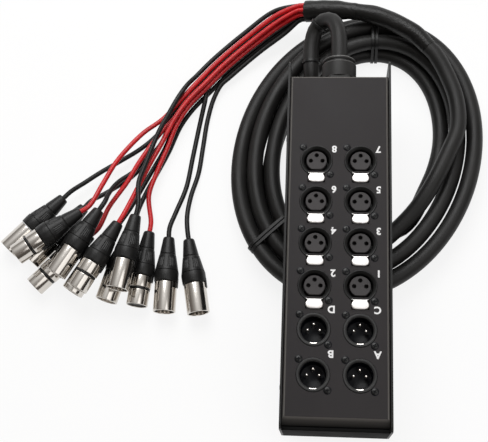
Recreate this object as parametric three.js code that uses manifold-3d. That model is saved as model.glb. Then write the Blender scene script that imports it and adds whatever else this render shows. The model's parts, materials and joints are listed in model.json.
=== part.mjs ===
// Stage box snake: a folded steel stage box with eight send sockets and four return
// sockets, its multicore trunk wound in a two-layer coil under the box, and twelve
// numbered tails that fan out to their plugs. Millimetres, +Z up, the box's long side
// along Y with the gland at +Y.
import * as THREE from 'three';
import { mergeVertices } from 'three/addons/utils/BufferGeometryUtils.js';
import Module from 'manifold-3d';

const wasm = await Module();
wasm.setup();

// Driving sizes of the steel case
const BOX_WIDTH = 82.5;
const BOX_HEIGHT = 57;
const SHEET = 1.6;
const LID_LENGTH = 278.8;
const END_RECESS = 3.4;
const EAR_LENGTH = 14.5;
const EAR_ROUND = 7;
const END_ROUND = 4;
const TRAY_FOLD = 2.4;
const WALL_RISE = 2.5;
const LID_FOLD = 2.3;
const LID_FLANGE = 13;
const BEVEL_RUN = 6.3;
const BEVEL_DROP = 5;
const SEAT_GAP = 0.3;
const OVERRUN = 5;

// Driving sizes of the connector field
const COLUMN_PITCH = 34.5;
const ROW_PITCH = 33.7;
const FIRST_ROW = 36.9;
const ROWS = 6;
const RETURN_ROWS = 2;
const RING_RADIUS = 12.6;
const RING_PROUD = 0.8;
const FLANGE_WIDTH = 26;
const FLANGE_UP = 14.6;
const FLANGE_DOWN = 18.7;
const FLANGE_THICK = 2;
const BODY_RADIUS = 11.6;
const BODY_DEPTH = 20;
const BORE_RADIUS = 9.6;
const BORE_DEPTH = 15;
const INSERT_RADIUS = 8;
const CONTACT_CIRCLE = 4.6;
const HOLE_RADIUS = 1.5;
const PIN_RADIUS = 1.25;
const PIN_SHORT = 2.5;
const CONTACT_ANGLES = [0, Math.PI / 2, Math.PI];
const KEY_FLAT = 7.2;

// Driving sizes of the push tabs
const TAB_WIDTH = 13.3;
const TAB_TOP = 9.9;
const TAB_LENGTH = 7.9;
const TAB_THICK = 2.6;
const TAB_PROUD = 1.4;
const TAB_TRAVEL = 1.2;
const TAB_SIDE_SHARE = 0.62;
const TAB_TOE_SHARE = 0.6;
const TAB_NOTCH_SHARE = 0.22;
const TAB_WALL = 0.7;

// Driving sizes of the cable gland
const GLAND_HEIGHT = 33;
const GLAND_FLATS = 13.4;
const GLAND_HEX = 5.6;
const GLAND_SPIGOT = 10;
const GLAND_THREAD = 11.5;
const THREAD_LENGTH = 8;
const LOCKNUT_LENGTH = 4;
const NUT_RADIUS = 14.7;
const NUT_LENGTH = 18.6;
const NUT_DOME = 6.5;
const NUT_MOUTH = 10.2;
const NUT_FLUTES = 12;
const NUT_FLUTE_DEPTH = 0.5;

// Driving sizes of the trunk and its coil
const TRUNK = 13.6;
const TRACK_PITCH = 14.8;
const LAYER_PITCH = 14.1;
const FLAT_SHARE = 0.1;
const COIL_ACROSS = 84.2;
const COIL_ALONG = 114.2;
const COIL_LEAN = -0.3;
const COIL_CENTRE = [18.9, 242.6];
const COIL_START = -10;
const COIL_REVERSE = 890;
const COIL_END = 1745;
const LOOP_STEPS = 24;
const LOOP_SIDES = 6;
const LANDING = 30;
const EASE = 90;
const END_TUCK = 1.9;
const TRUNK_SIDES = 10;
const TRUNK_STEP_SHARE = 1.2;

// Driving sizes of the tails and their plugs
const TAIL = 4.2;
const TAIL_SIDES = 8;
const STEP_DIAMETERS = 3;
const LANE_PITCH = 4.7;
const SLEEVE_RADIUS = 9.3;
const SLEEVE_SIDES = 12;
const BOOT_LENGTH = 39.5;
const BOOT_TOP = 4.7;
const BOOT_NECK = 7.7;
const BOOT_WAIST = 9.9;
const BOOT_COLLAR = 10.3;
const BOOT_END = 9.8;
const NECK_LENGTH = 15.5;
const WAIST_LENGTH = 29.8;
const RING_GROOVE = 0.5;
const RING_WIDTH = 1.4;
const FLUTE_DEPTH = 0.45;
const BOOT_SIDES = 12;
const SHELL_RADIUS = 9.5;
const SHELL_LENGTH = 25.2;
const SHELL_WALL = 1.3;
const SHELL_BORE = 12.5;
const SHELL_SIDES = 14;
const SHELL_EDGE = 0.6;
const NOSE_RADIUS = 9.1;
const GROOVE_RADIUS = 8.5;
const RING_LENGTH = 10;
const GROOVE_LENGTH = 2.2;
const LATCH_WIDTH = 5;
const LATCH_LENGTH = 8;
const LATCH_THICK = 1.8;
const LATCH_PROUD = 0.5;
const LATCH_TRAVEL = 1;
const LATCH_TURN = -1.9;
const ROUND_SIDES = 20;
const SMALL_SIDES = 6;

// Places that follow from the driving sizes
const lidTop = BOX_HEIGHT - WALL_RISE;
const lidEnd = END_RECESS + LID_LENGTH;
const trayLength = lidEnd + EAR_LENGTH;
const lidWidth = BOX_WIDTH - 2 * (SHEET + SEAT_GAP);
const lidFloor = SHEET + SEAT_GAP;
const nutFace = lidEnd + SEAT_GAP + GLAND_HEX + SEAT_GAP;
const nutTip = nutFace + NUT_LENGTH;
const layerLow = TRUNK / 2 - FLAT_SHARE * TRUNK;
const coilTop = layerLow + LAYER_PITCH + TRUNK / 2;
const floorLevel = -(coilTop + SEAT_GAP);
const plugLength = BOOT_LENGTH + SEAT_GAP + SHELL_LENGTH;
const plugRest = BOOT_COLLAR;
const pocketDepth = TAB_TRAVEL + TAB_THICK - TAB_PROUD + SEAT_GAP;

// Finishes
const paint = new THREE.MeshStandardMaterial({ color: 0x2b2b2d, roughness: 0.55, metalness: 0.3 });
const deckPaint = new THREE.MeshStandardMaterial({ color: 0x3a383a, roughness: 0.5, metalness: 0.3 });
const moulding = new THREE.MeshStandardMaterial({ color: 0x18181a, roughness: 0.5, metalness: 0 });
const silver = new THREE.MeshStandardMaterial({ color: 0xd8d8d8, roughness: 0.3, metalness: 0.8 });
const nickel = new THREE.MeshStandardMaterial({ color: 0xc9c2b6, roughness: 0.22, metalness: 1 });
const jacket = new THREE.MeshStandardMaterial({ color: 0x2e2e30, roughness: 0.6, metalness: 0 });
const redJacket = new THREE.MeshStandardMaterial({ color: 0xc42020, roughness: 0.5, metalness: 0 });
const rubber = new THREE.MeshStandardMaterial({ color: 0x1c1c1e, roughness: 0.65, metalness: 0 });

const part = new THREE.Group();
const box = new THREE.Group();
part.add(box);

// A closed mesh of three.js becomes a solid that can be cut and joined.
function solid(geometry) {
  const bare = geometry.clone();
  bare.deleteAttribute('normal');
  bare.deleteAttribute('uv');
  const merged = mergeVertices(bare);
  return new wasm.Manifold(new wasm.Mesh({
    numProp: 3,
    vertProperties: new Float32Array(merged.attributes.position.array),
    triVerts: new Uint32Array(merged.index.array),
  }));
}

function mesh(name, body, material, parent = box) {
  const data = body.getMesh();
  const geometry = new THREE.BufferGeometry();
  geometry.setAttribute('position', new THREE.BufferAttribute(data.vertProperties, 3));
  geometry.setIndex(new THREE.BufferAttribute(data.triVerts, 1));
  const piece = new THREE.Mesh(geometry, material);
  piece.name = name;
  parent.add(piece);
  return piece;
}

function outline(points) {
  const shape = new THREE.Shape();
  points.forEach(([a, b], i) => (i ? shape.lineTo(a, b) : shape.moveTo(a, b)));
  shape.closePath();
  return shape;
}

// An outline drawn in X and Y, raised along Z from the height given.
function raise(shape, height, from = 0) {
  const geometry = new THREE.ExtrudeGeometry(shape, { depth: height, bevelEnabled: false });
  geometry.translate(0, 0, from);
  return solid(geometry);
}

// An outline drawn as [y, z], spread along X about the middle.
function spreadX(points, width) {
  const geometry = new THREE.ExtrudeGeometry(outline(points), { depth: width, bevelEnabled: false });
  geometry.translate(0, 0, -width / 2);
  geometry.applyMatrix4(new THREE.Matrix4().set(0, 0, 1, 0, 1, 0, 0, 0, 0, 1, 0, 0, 0, 0, 0, 1));
  return solid(geometry);
}

// An outline drawn as [x, z], run along Y from the place given.
function runY(points, length, from) {
  const geometry = new THREE.ExtrudeGeometry(outline(points), { depth: length, bevelEnabled: false });
  geometry.rotateX(Math.PI / 2);
  geometry.translate(0, from + length, 0);
  return solid(geometry);
}

function block(x0, x1, y0, y1, z0, z1) {
  const geometry = new THREE.BoxGeometry(x1 - x0, y1 - y0, z1 - z0);
  geometry.translate((x0 + x1) / 2, (y0 + y1) / 2, (z0 + z1) / 2);
  return solid(geometry);
}

// A profile of [radius, height] pairs turned about Z.
function turned(profile, sides, phase = 0) {
  const points = profile.map(([r, h]) => new THREE.Vector2(r, h));
  const geometry = new THREE.LatheGeometry(points, sides, phase);
  geometry.rotateX(Math.PI / 2);
  return solid(geometry);
}

function rod(radius, from, to, sides, phase = 0) {
  return turned([[0, from], [radius, from], [radius, to], [0, to]], sides, phase);
}

// Corner points of a round of the radius given, about a centre.
function arc(centre, radius, from, to, steps = 3) {
  return Array.from({ length: steps + 1 }, (_, i) => {
    const angle = from + ((to - from) * i) / steps;
    return [centre[0] + radius * Math.cos(angle), centre[1] + radius * Math.sin(angle)];
  });
}

// The same corners moved inward by a wall, for an outline drawn anticlockwise.
function inset(points, wall) {
  return points.map((here, i) => {
    const before = points[(i + points.length - 1) % points.length];
    const after = points[(i + 1) % points.length];
    const a = new THREE.Vector2(here[0] - before[0], here[1] - before[1]).normalize();
    const b = new THREE.Vector2(after[0] - here[0], after[1] - here[1]).normalize();
    const reach = wall / (1 + a.dot(b));
    return [here[0] - reach * (a.y + b.y), here[1] + reach * (a.x + b.x)];
  });
}

// The contact pattern of a three-pole connector.
function contacts(radius, from, to) {
  return CONTACT_ANGLES.map((angle) => rod(radius, from, to, SMALL_SIDES)
    .translate(CONTACT_CIRCLE * Math.cos(angle), CONTACT_CIRCLE * Math.sin(angle), 0));
}

function joined(bodies) {
  return bodies.reduce((sum, body) => sum.add(body));
}

// Steel case: a U-shaped tray whose side walls run on past the gland as two ears
function chassisTray() {
  const half = BOX_WIDTH / 2;
  const inner = half - SHEET;
  const foldSpan = TRAY_FOLD;
  const profile = [
    ...arc([-half + foldSpan, foldSpan], foldSpan, Math.PI, Math.PI * 1.5),
    ...arc([half - foldSpan, foldSpan], foldSpan, Math.PI * 1.5, Math.PI * 2),
    [half, BOX_HEIGHT],
    [inner, BOX_HEIGHT],
    [inner, SHEET],
    [-inner, SHEET],
    [-inner, BOX_HEIGHT],
    [-half, BOX_HEIGHT],
  ];
  const side = [
    ...arc([END_ROUND, END_ROUND], END_ROUND, Math.PI, Math.PI * 1.5),
    ...arc([trayLength - EAR_ROUND, EAR_ROUND], EAR_ROUND, Math.PI * 1.5, Math.PI * 2),
    ...arc([trayLength - EAR_ROUND, BOX_HEIGHT - EAR_ROUND], EAR_ROUND, 0, Math.PI / 2),
    ...arc([END_ROUND, BOX_HEIGHT - END_ROUND], END_ROUND, Math.PI / 2, Math.PI),
  ];
  const between = [-inner, inner];
  return runY(profile, trayLength, 0)
    .intersect(spreadX(side, BOX_WIDTH))
    .subtract(block(...between, -OVERRUN, END_RECESS, -OVERRUN, BOX_HEIGHT + OVERRUN))
    .subtract(block(...between, lidEnd, trayLength + OVERRUN, -OVERRUN, BOX_HEIGHT + OVERRUN));
}

function rowPlace(row) {
  return END_RECESS + FIRST_ROW + row * ROW_PITCH;
}

function columnPlace(column) {
  return (column - 0.5) * COLUMN_PITCH;
}

// The opening outline round a send socket takes its ring and the housing of its push tab.
function tabHousing(grow) {
  const half = TAB_WIDTH / 2 + TAB_WALL + SEAT_GAP + grow;
  const low = -(TAB_TOP + TAB_LENGTH + TAB_WALL + SEAT_GAP + grow);
  return outline([[-half, low], [half, low], [half, 0], [-half, 0]]);
}

function socketCut(isSend) {
  const ring = rod(RING_RADIUS + SEAT_GAP, lidTop - SHEET - OVERRUN, lidTop + OVERRUN, ROUND_SIDES);
  if (!isSend) return ring;
  return ring.add(raise(tabHousing(SEAT_GAP), SHEET + 2 * OVERRUN, lidTop - SHEET - OVERRUN));
}

// Folded lid: closed end plate, bevel, connector deck and gland end plate in one sheet
function facePlate() {
  const side = [
    [END_RECESS, lidFloor],
    [lidEnd, lidFloor],
    ...arc([lidEnd - SHEET, lidTop - SHEET], SHEET, 0, Math.PI / 2, 2),
    [END_RECESS + BEVEL_RUN, lidTop],
    [END_RECESS, lidTop - BEVEL_DROP],
  ];
  const half = lidWidth / 2;
  const fold = LID_FOLD;
  const cross = [
    [-half, lidFloor],
    [half, lidFloor],
    ...arc([half - fold, lidTop - fold], fold, 0, Math.PI / 2),
    ...arc([-half + fold, lidTop - fold], fold, Math.PI / 2, Math.PI),
  ];
  const deepen = ([a, b]) => [a, b < lidFloor + SHEET + SEAT_GAP ? lidFloor - OVERRUN : b];
  const hollow = spreadX(inset(side, SHEET).map(deepen), BOX_WIDTH)
    .intersect(runY(inset(cross, SHEET).map(deepen), LID_LENGTH, END_RECESS));
  const openSides = block(
    -BOX_WIDTH, BOX_WIDTH,
    END_RECESS + SHEET, lidEnd - SHEET,
    lidFloor - OVERRUN, lidTop - LID_FLANGE,
  );
  let lid = spreadX(side, BOX_WIDTH)
    .intersect(runY(cross, LID_LENGTH, END_RECESS))
    .subtract(hollow)
    .subtract(openSides);
  for (let row = 0; row < ROWS; row += 1) {
    for (let column = 0; column < 2; column += 1) {
      const cut = socketCut(row >= RETURN_ROWS);
      lid = lid.subtract(cut.translate(columnPlace(column), rowPlace(row), 0));
    }
  }
  const glandHole = rod(GLAND_SPIGOT + SEAT_GAP, -OVERRUN, SHEET + OVERRUN, ROUND_SIDES)
    .rotate([-90, 0, 0])
    .translate(0, lidEnd - SHEET, GLAND_HEIGHT);
  return lid.subtract(glandHole);
}

// Send socket: rear-mounted moulding with a keyed insert, seen through the deck
function sendSocket() {
  const under = lidTop - SHEET - SEAT_GAP;
  const front = lidTop + RING_PROUD;
  const halfWidth = FLANGE_WIDTH / 2;
  const flange = raise(outline([
    [-halfWidth, -FLANGE_DOWN],
    [halfWidth, -FLANGE_DOWN],
    [halfWidth, FLANGE_UP],
    [-halfWidth, FLANGE_UP],
  ]), FLANGE_THICK, under - FLANGE_THICK);
  const barrel = rod(RING_RADIUS, under - FLANGE_THICK, front, ROUND_SIDES);
  const back = rod(BODY_RADIUS, lidTop - BODY_DEPTH, under - FLANGE_THICK + SEAT_GAP, SHELL_SIDES);
  const groove = rod(BORE_RADIUS, front - BORE_DEPTH, front + OVERRUN, SHELL_SIDES)
    .subtract(rod(INSERT_RADIUS, front - BORE_DEPTH - OVERRUN, front - RING_PROUD, SHELL_SIDES)
      .subtract(block(-BORE_RADIUS, BORE_RADIUS, -BORE_RADIUS, -KEY_FLAT, 0, front + OVERRUN)));
  const housing = raise(tabHousing(0), front - under + FLANGE_THICK, under - FLANGE_THICK)
    .subtract(rod(RING_RADIUS - SEAT_GAP, 0, front + OVERRUN, ROUND_SIDES));
  const halfPocket = TAB_WIDTH / 2 + SEAT_GAP;
  const pocket = block(
    -halfPocket, halfPocket,
    -(TAB_TOP + TAB_LENGTH + SEAT_GAP), -(TAB_TOP - SEAT_GAP),
    lidTop - pocketDepth, front + OVERRUN,
  ).subtract(rod(BORE_RADIUS + SEAT_GAP / 2, 0, front + OVERRUN, SHELL_SIDES));
  return joined([flange, barrel, back, housing])
    .subtract(groove)
    .subtract(pocket)
    .subtract(joined(contacts(HOLE_RADIUS, front - BORE_DEPTH / 2, front + OVERRUN)));
}

// Push tab: a pressed plate with two wings at the top and a narrower toe
function pushTab() {
  const half = TAB_WIDTH / 2;
  const notch = TAB_LENGTH * TAB_NOTCH_SHARE;
  const top = -TAB_TOP;
  const low = top - TAB_LENGTH;
  const shape = outline([
    [-half, top],
    [-half, top - notch],
    [-half * TAB_SIDE_SHARE, top - notch - notch],
    [-half * TAB_TOE_SHARE, low],
    [half * TAB_TOE_SHARE, low],
    [half * TAB_SIDE_SHARE, top - notch - notch],
    [half, top - notch],
    [half, top],
  ].reverse());
  return raise(shape, TAB_THICK, lidTop + TAB_PROUD - TAB_THICK);
}

// Return socket: a round bore with three pins standing in it
function returnSocket() {
  const under = lidTop - SHEET - SEAT_GAP;
  const front = lidTop + RING_PROUD;
  const seat = front - BORE_DEPTH;
  const halfWidth = FLANGE_WIDTH / 2;
  const flange = raise(outline([
    [-halfWidth, -FLANGE_UP],
    [halfWidth, -FLANGE_UP],
    [halfWidth, FLANGE_UP],
    [-halfWidth, FLANGE_UP],
  ]), FLANGE_THICK, under - FLANGE_THICK);
  const barrel = rod(RING_RADIUS, under - FLANGE_THICK, front, ROUND_SIDES);
  const back = rod(BODY_RADIUS, lidTop - BODY_DEPTH, under - FLANGE_THICK + SEAT_GAP, SHELL_SIDES);
  return joined([flange, barrel, back])
    .subtract(rod(BORE_RADIUS, seat, front + OVERRUN, SHELL_SIDES))
    .add(joined(contacts(PIN_RADIUS, seat - SEAT_GAP, front - PIN_SHORT)));
}

// Turns a body made along Z so that it points along +Y at the gland's axis.
function onGlandAxis(body, start) {
  return body.rotate([-90, 0, 0]).translate(0, start, GLAND_HEIGHT);
}

// Gland body: hexagon, threaded neck, and the locknut that clamps the end plate
function glandBody() {
  const hexRadius = GLAND_FLATS / Math.cos(Math.PI / 6);
  const hexStart = SEAT_GAP;
  const lockEnd = -(SHEET + SEAT_GAP);
  const hex = rod(hexRadius, hexStart, hexStart + GLAND_HEX, 6);
  const neck = rod(GLAND_THREAD, hexStart, hexStart + GLAND_HEX + THREAD_LENGTH, ROUND_SIDES);
  const spigot = rod(GLAND_SPIGOT, lockEnd - LOCKNUT_LENGTH, hexStart + GLAND_HEX, ROUND_SIDES);
  const locknut = rod(hexRadius, lockEnd - LOCKNUT_LENGTH, lockEnd, 6);
  return onGlandAxis(joined([hex, neck, spigot, locknut]), lidEnd);
}

// Dome nut: fluted skirt over the thread and a rounded nose with the cable's mouth
function glandNut() {
  const bore = TRUNK / 2 + SEAT_GAP;
  const counterbore = GLAND_THREAD + SEAT_GAP;
  const skirt = NUT_LENGTH - NUT_DOME;
  const body = turned([
    [0, 0],
    [NUT_RADIUS, 0],
    [NUT_RADIUS, skirt],
    ...arc([0, 0], 1, Math.PI / 8, Math.PI / 2, 3)
      .map(([out, up]) => [NUT_MOUTH + out * (NUT_RADIUS - NUT_MOUTH), skirt + up * NUT_DOME]),
    [0, NUT_LENGTH],
  ], ROUND_SIDES);
  const flutes = Array.from({ length: NUT_FLUTES }, (_, i) => {
    const angle = (2 * Math.PI * (i + 0.5)) / NUT_FLUTES;
    const out = NUT_RADIUS + NUT_FLUTE_DEPTH;
    return rod(2 * NUT_FLUTE_DEPTH, -OVERRUN, skirt - NUT_FLUTE_DEPTH, LOOP_SIDES)
      .translate(out * Math.cos(angle), out * Math.sin(angle), 0);
  });
  return onGlandAxis(body
    .subtract(rod(counterbore, -OVERRUN, THREAD_LENGTH + SEAT_GAP, ROUND_SIDES))
    .subtract(rod(bore, -OVERRUN, NUT_LENGTH + OVERRUN, ROUND_SIDES))
    .subtract(joined(flutes)), nutFace);
}

mesh('chassis_tray', chassisTray(), paint);
mesh('face_plate', facePlate(), deckPaint);
mesh('gland_body', glandBody(), moulding);
mesh('gland_nut', glandNut(), moulding);

// Sends 1 to 8 fill the four rows nearest the gland, returns a to d the other two.
const sendNumbers = [[2, 1], [4, 3], [6, 5], [8, 7]];
const returnLetters = [['b', 'a'], ['d', 'c']];
const sendBody = sendSocket();
const tabBody = pushTab();
const returnBody = returnSocket();
for (let column = 0; column < 2; column += 1) {
  sendNumbers.forEach((row, i) => {
    const place = [columnPlace(column), rowPlace(RETURN_ROWS + i), 0];
    mesh(`send_socket_${row[column]}`, sendBody, moulding).position.set(...place);
    mesh(`push_tab_${row[column]}`, tabBody, silver).position.set(...place);
  });
  returnLetters.forEach((row, i) => {
    const place = [columnPlace(column), rowPlace(i), 0];
    mesh(`return_socket_${row[column]}`, returnBody, moulding).position.set(...place);
  });
}

// Cord routes. Heights are above the surface that the coil and the plugs lie on.
const TRUNK_LEAD_ROUTE = [
  [0, 320, 59.6],
  [-1, 335, 58.2],
  [-6, 348, 53],
  [-14, 352, 46],
  [-21, 346, 39.5],
  [-24, 332, 35.6],
  [-24, 318, 34.4],
  [-23.5, 306, 32.6],
  [-22.5, 295, 26.6],
  [-21.5, 285, 18.9],
  [-20, 268, 12.3],
  [-16, 247, 8],
  [-7, 226, 6.9],
  [8, 203, 6.9],
  [24, 185.5, 6.9],
  [38, 176, 6.9],
  [50.5, 175, 6.9],
  [58.5, 180.5, 6.9],
];
const TRUNK_RUN_OUT_ROUTE = [
  [58, 180, 23.4],
  [71, 196, 28.6],
  [82, 214.5, 32.8],
  [92, 236, 34],
  [100, 257, 34],
  [99.5, 283, 34],
  [91.5, 308, 34.5],
];
const SLEEVE_ROUTE = [
  [77, 331.5, 36.3],
  [66, 344, 36.4],
  [52, 353.5, 36.4],
  [35, 361.5, 36.3],
  [15, 367.5, 35],
  [-9, 371.5, 30.5],
  [-29.6, 373.5, 25],
];
const BUNDLE_ROUTE = [
  [-53, 367, 18.8],
  [-79, 349, 12.5],
  [-105.7, 325.1, 9.3],
  [-119.5, 309.2, 9.3],
  [-135.3, 290.7, 9.3],
  [-145.5, 274, 9.3],
];

// Each plug by its nose, its heading in degrees, and the height of its axis where it
// lies on other plugs. Sends have black tails, returns red ones.
const PLUGS = {
  send_1: { nose: [-282.5, 151.5], heading: -133 },
  send_2: { nose: [-262, 142], heading: -131.5 },
  send_3: { nose: [-233.5, 126], heading: -120, height: 29.6 },
  send_4: { nose: [-223, 115], heading: -120.5 },
  send_5: { nose: [-193, 108], heading: -105.5 },
  send_6: { nose: [-180, 114], heading: -99.5, height: 29.2 },
  send_7: { nose: [-143, 99.5], heading: -90 },
  send_8: { nose: [-114, 99], heading: -79.5 },
  return_a: { nose: [-268, 141], heading: -143, height: 31.2 },
  return_b: { nose: [-256, 119], heading: -134 },
  return_c: { nose: [-214, 113.5], heading: -118, height: 30.2 },
  return_d: { nose: [-166.6, 104.5], heading: -95.6 },
};

// Each tail by its row and lane where the sleeve packs it, the row and lane that it takes
// in the loose bundle, the stations of the bundle that it keeps to, and its own way from
// there to its plug.
const TAIL_ROUTES = {
  send_1: {
    packed: [1, -1.5], loose: [0.85, -1.2], stations: 6,
    way: [
      [-161, 260, 6.2], [-174, 247.5, 6.4], [-190.5, 235.7, 7.4],
      [-208, 223.5, 9.2], [-221, 213.5, 10.1],
    ],
  },
  send_2: {
    packed: [0, -1], loose: [0, -0.7], stations: 6,
    way: [[-158.5, 251, 2.4], [-171, 233.5, 2.4], [-184, 219.5, 2.8], [-195, 210.5, 5.5], [-204, 203, 8.8]],
  },
  send_3: {
    packed: [1, -0.5], loose: [1, -0.2], stations: 6,
    way: [
      [-157.5, 249.5, 7.4], [-169.5, 235.5, 7.6], [-179.5, 224, 8.6],
      [-190, 213.5, 13.5], [-195.5, 200.5, 22],
    ],
  },
  send_4: {
    packed: [0, 0], loose: [0, 0.3], stations: 6,
    way: [[-154.5, 246, 2.4], [-163.5, 227, 3], [-171, 209, 6], [-179, 190, 9.4]],
  },
  send_5: {
    packed: [0, 1], loose: [0, 1.3], stations: 6,
    way: [[-149.5, 246, 2.4], [-158.5, 225.5, 3], [-166, 207, 6], [-171.5, 189, 9.4]],
  },
  send_6: {
    packed: [2, -1], loose: [2.1, -2.2], stations: 4,
    way: [
      [-134.3, 304.5, 17.6], [-141.5, 290.2, 20.8], [-148.8, 274.1, 21.4],
      [-155.2, 260, 21.6], [-160.6, 244, 22],
      [-165.6, 226, 23.4], [-169.6, 209, 26],
    ],
  },
  send_7: {
    packed: [1, 0.5], loose: [1, 0.8], stations: 4,
    way: [
      [-119, 293.5, 6.4], [-123.4, 270, 2.9], [-127.8, 240, 2.3], [-131.6, 212, 4], [-138.5, 188, 8.6],
    ],
  },
  send_8: {
    packed: [1, 1.5], loose: [1, 2.4], stations: 3,
    way: [
      [-105.2, 310, 6.2], [-111.8, 296, 4.4], [-116.4, 276, 2.4], [-119, 251.3, 2.2], [-121.8, 225.7, 2.4],
      [-127, 203.7, 4.6], [-128.6, 184, 9],
    ],
  },
  return_a: {
    packed: [3, -0.5], loose: [3, -0.8], stations: 4,
    way: [
      [-138.3, 292.9, 15.2], [-154.5, 274, 12.6], [-171, 260, 13.6], [-184, 243, 17], [-192.5, 227.6, 21.4],
      [-201, 205, 27.6],
    ],
  },
  return_b: {
    packed: [2, 0], loose: [2, 0], stations: 6,
    way: [
      [-158, 257.5, 12.4], [-166.5, 243.3, 13.6], [-174.5, 229, 14],
      [-181.8, 214.5, 13.2], [-190.5, 201.5, 11.8],
      [-197.5, 190.5, 10.8],
    ],
  },
  return_c: {
    packed: [3, 0.5], loose: [3, 0.5], stations: 6,
    way: [[-154, 249, 15.6], [-162.5, 230, 16.6], [-170.5, 207, 21]],
  },
  return_d: {
    packed: [2, 1], loose: [2, 1], stations: 5,
    way: [[-142.5, 268, 11.4], [-149.5, 247, 10.4], [-157.5, 224, 10], [-163, 202, 10.4]],
  },
};
// Heights of the four rows where the tails leave the sleeve packed like oranges
const PACKED_ROW_SHARES = [-1.1547, -0.2887, 0.5774, 1.4434];

const ground = new THREE.Group();
ground.position.z = floorLevel;
box.add(ground);

const vector = (point) => new THREE.Vector3(...point);

function smooth(value) {
  const t = Math.min(Math.max(value, 0), 1);
  return t * t * (3 - 2 * t);
}

// A free cord: a many-sided section swept along one smooth curve.
function cord(points, radius, sides, stepLength) {
  const curve = new THREE.CatmullRomCurve3(points, false, 'centripetal');
  const section = outline(arc([0, 0], radius, 0, 2 * Math.PI * (1 - 1 / sides), sides - 1));
  return solid(new THREE.ExtrudeGeometry(section, {
    steps: Math.max(2, Math.round(curve.getLength() / stepLength)),
    bevelEnabled: false,
    extrudePath: curve,
  }));
}

// The coil's centre line: it winds outward on the surface, climbs while it reverses,
// and winds inward again on top. The angle is in degrees round the leaning oval.
function coilPoint(angle) {
  const past = angle - COIL_REVERSE;
  const turned = Math.abs(past) < EASE
    ? (past * past) / (2 * EASE) + EASE / 2
    : Math.abs(past);
  const span = (COIL_REVERSE - COIL_START) / 360;
  const fromEnd = Math.min(angle - COIL_START, COIL_END - angle);
  const tuck = END_TUCK * (1 - smooth(fromEnd / LANDING));
  const track = (span / 2 - turned / 360) * TRACK_PITCH - tuck;
  const t = (angle * Math.PI) / 180;
  const x = (COIL_ACROSS + track) * Math.cos(t);
  const y = (COIL_ALONG + track) * Math.sin(t);
  const landing = (TRUNK / 2 - layerLow) * (1 - smooth((angle - COIL_START) / LANDING));
  const climb = LAYER_PITCH * smooth((past + EASE) / (2 * EASE));
  return new THREE.Vector3(
    COIL_CENTRE[0] + x * Math.cos(COIL_LEAN) - y * Math.sin(COIL_LEAN),
    COIL_CENTRE[1] + x * Math.sin(COIL_LEAN) + y * Math.cos(COIL_LEAN),
    layerLow + landing + climb,
  );
}

// The coil's corners, with one straight diameter at each end.
function coilPoints() {
  const turn = 360 / LOOP_STEPS;
  const points = [];
  for (let angle = COIL_START; angle <= COIL_END; angle += turn) points.push(coilPoint(angle));
  const lead = points[0].clone().sub(coilPoint(COIL_START + 1)).setZ(0).setLength(TRUNK);
  const last = points[points.length - 1];
  const follow = last.clone().sub(coilPoint(COIL_END - 1)).setZ(0).setLength(TRUNK);
  return [points[0].clone().add(lead), ...points, last.clone().add(follow)];
}

// A six-sided tube with a corner uppermost, closed at both ends.
function woundTube(points, radius) {
  const corners = [];
  const faces = [];
  points.forEach((point, i) => {
    const ahead = points[Math.min(i + 1, points.length - 1)];
    const behind = points[Math.max(i - 1, 0)];
    const along = ahead.clone().sub(behind).normalize();
    const side = new THREE.Vector3(along.y, -along.x, 0).normalize();
    const up = side.clone().cross(along);
    for (let k = 0; k < LOOP_SIDES; k += 1) {
      const angle = Math.PI / 2 + (2 * Math.PI * k) / LOOP_SIDES;
      const corner = point.clone()
        .addScaledVector(side, radius * Math.cos(angle))
        .addScaledVector(up, radius * Math.sin(angle));
      corners.push(corner.x, corner.y, corner.z);
      const next = (k + 1) % LOOP_SIDES;
      const base = i * LOOP_SIDES;
      if (i + 1 < points.length) {
        faces.push(base + k, base + LOOP_SIDES + k, base + next);
        faces.push(base + next, base + LOOP_SIDES + k, base + LOOP_SIDES + next);
      }
    }
  });
  const top = (points.length - 1) * LOOP_SIDES;
  for (let k = 1; k + 1 < LOOP_SIDES; k += 1) {
    faces.push(0, k, k + 1);
    faces.push(top, top + k + 1, top + k);
  }
  const geometry = new THREE.BufferGeometry();
  geometry.setAttribute('position', new THREE.BufferAttribute(new Float32Array(corners), 3));
  geometry.setIndex(faces);
  return solid(geometry);
}

// Least clear distance between loops of the coil, on points six to a step.
function leastGap(points) {
  const fine = [];
  const parts = 6;
  for (let i = 0; i + 1 < points.length; i += 1) {
    for (let k = 0; k < parts; k += 1) fine.push(points[i].clone().lerp(points[i + 1], k / parts));
  }
  let least = Infinity;
  const apart = (LOOP_STEPS / 2) * parts;
  for (let i = 0; i < fine.length; i += 1) {
    for (let j = i + apart; j < fine.length; j += 1) {
      least = Math.min(least, fine[i].distanceTo(fine[j]));
    }
  }
  return least - TRUNK;
}

const coilLine = coilPoints();
console.log(`least gap between the coil's loops: ${leastGap(coilLine).toFixed(2)} mm`);
const reach = 2 * (COIL_ACROSS + COIL_ALONG);
const coil = woundTube(coilLine, TRUNK / 2)
  .subtract(block(-reach, reach, -reach, reach, -TRUNK, 0));
mesh('trunk_coil', coil, jacket, ground);

// A point beyond an end, in the direction that the end already has.
function beyond(end, neighbour, distance) {
  return end.clone().add(end.clone().sub(neighbour).setLength(distance));
}

function trunkPiece(name, points) {
  mesh(name, cord(points, TRUNK / 2, TRUNK_SIDES, TRUNK_STEP_SHARE * TRUNK), jacket, ground);
}

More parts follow.
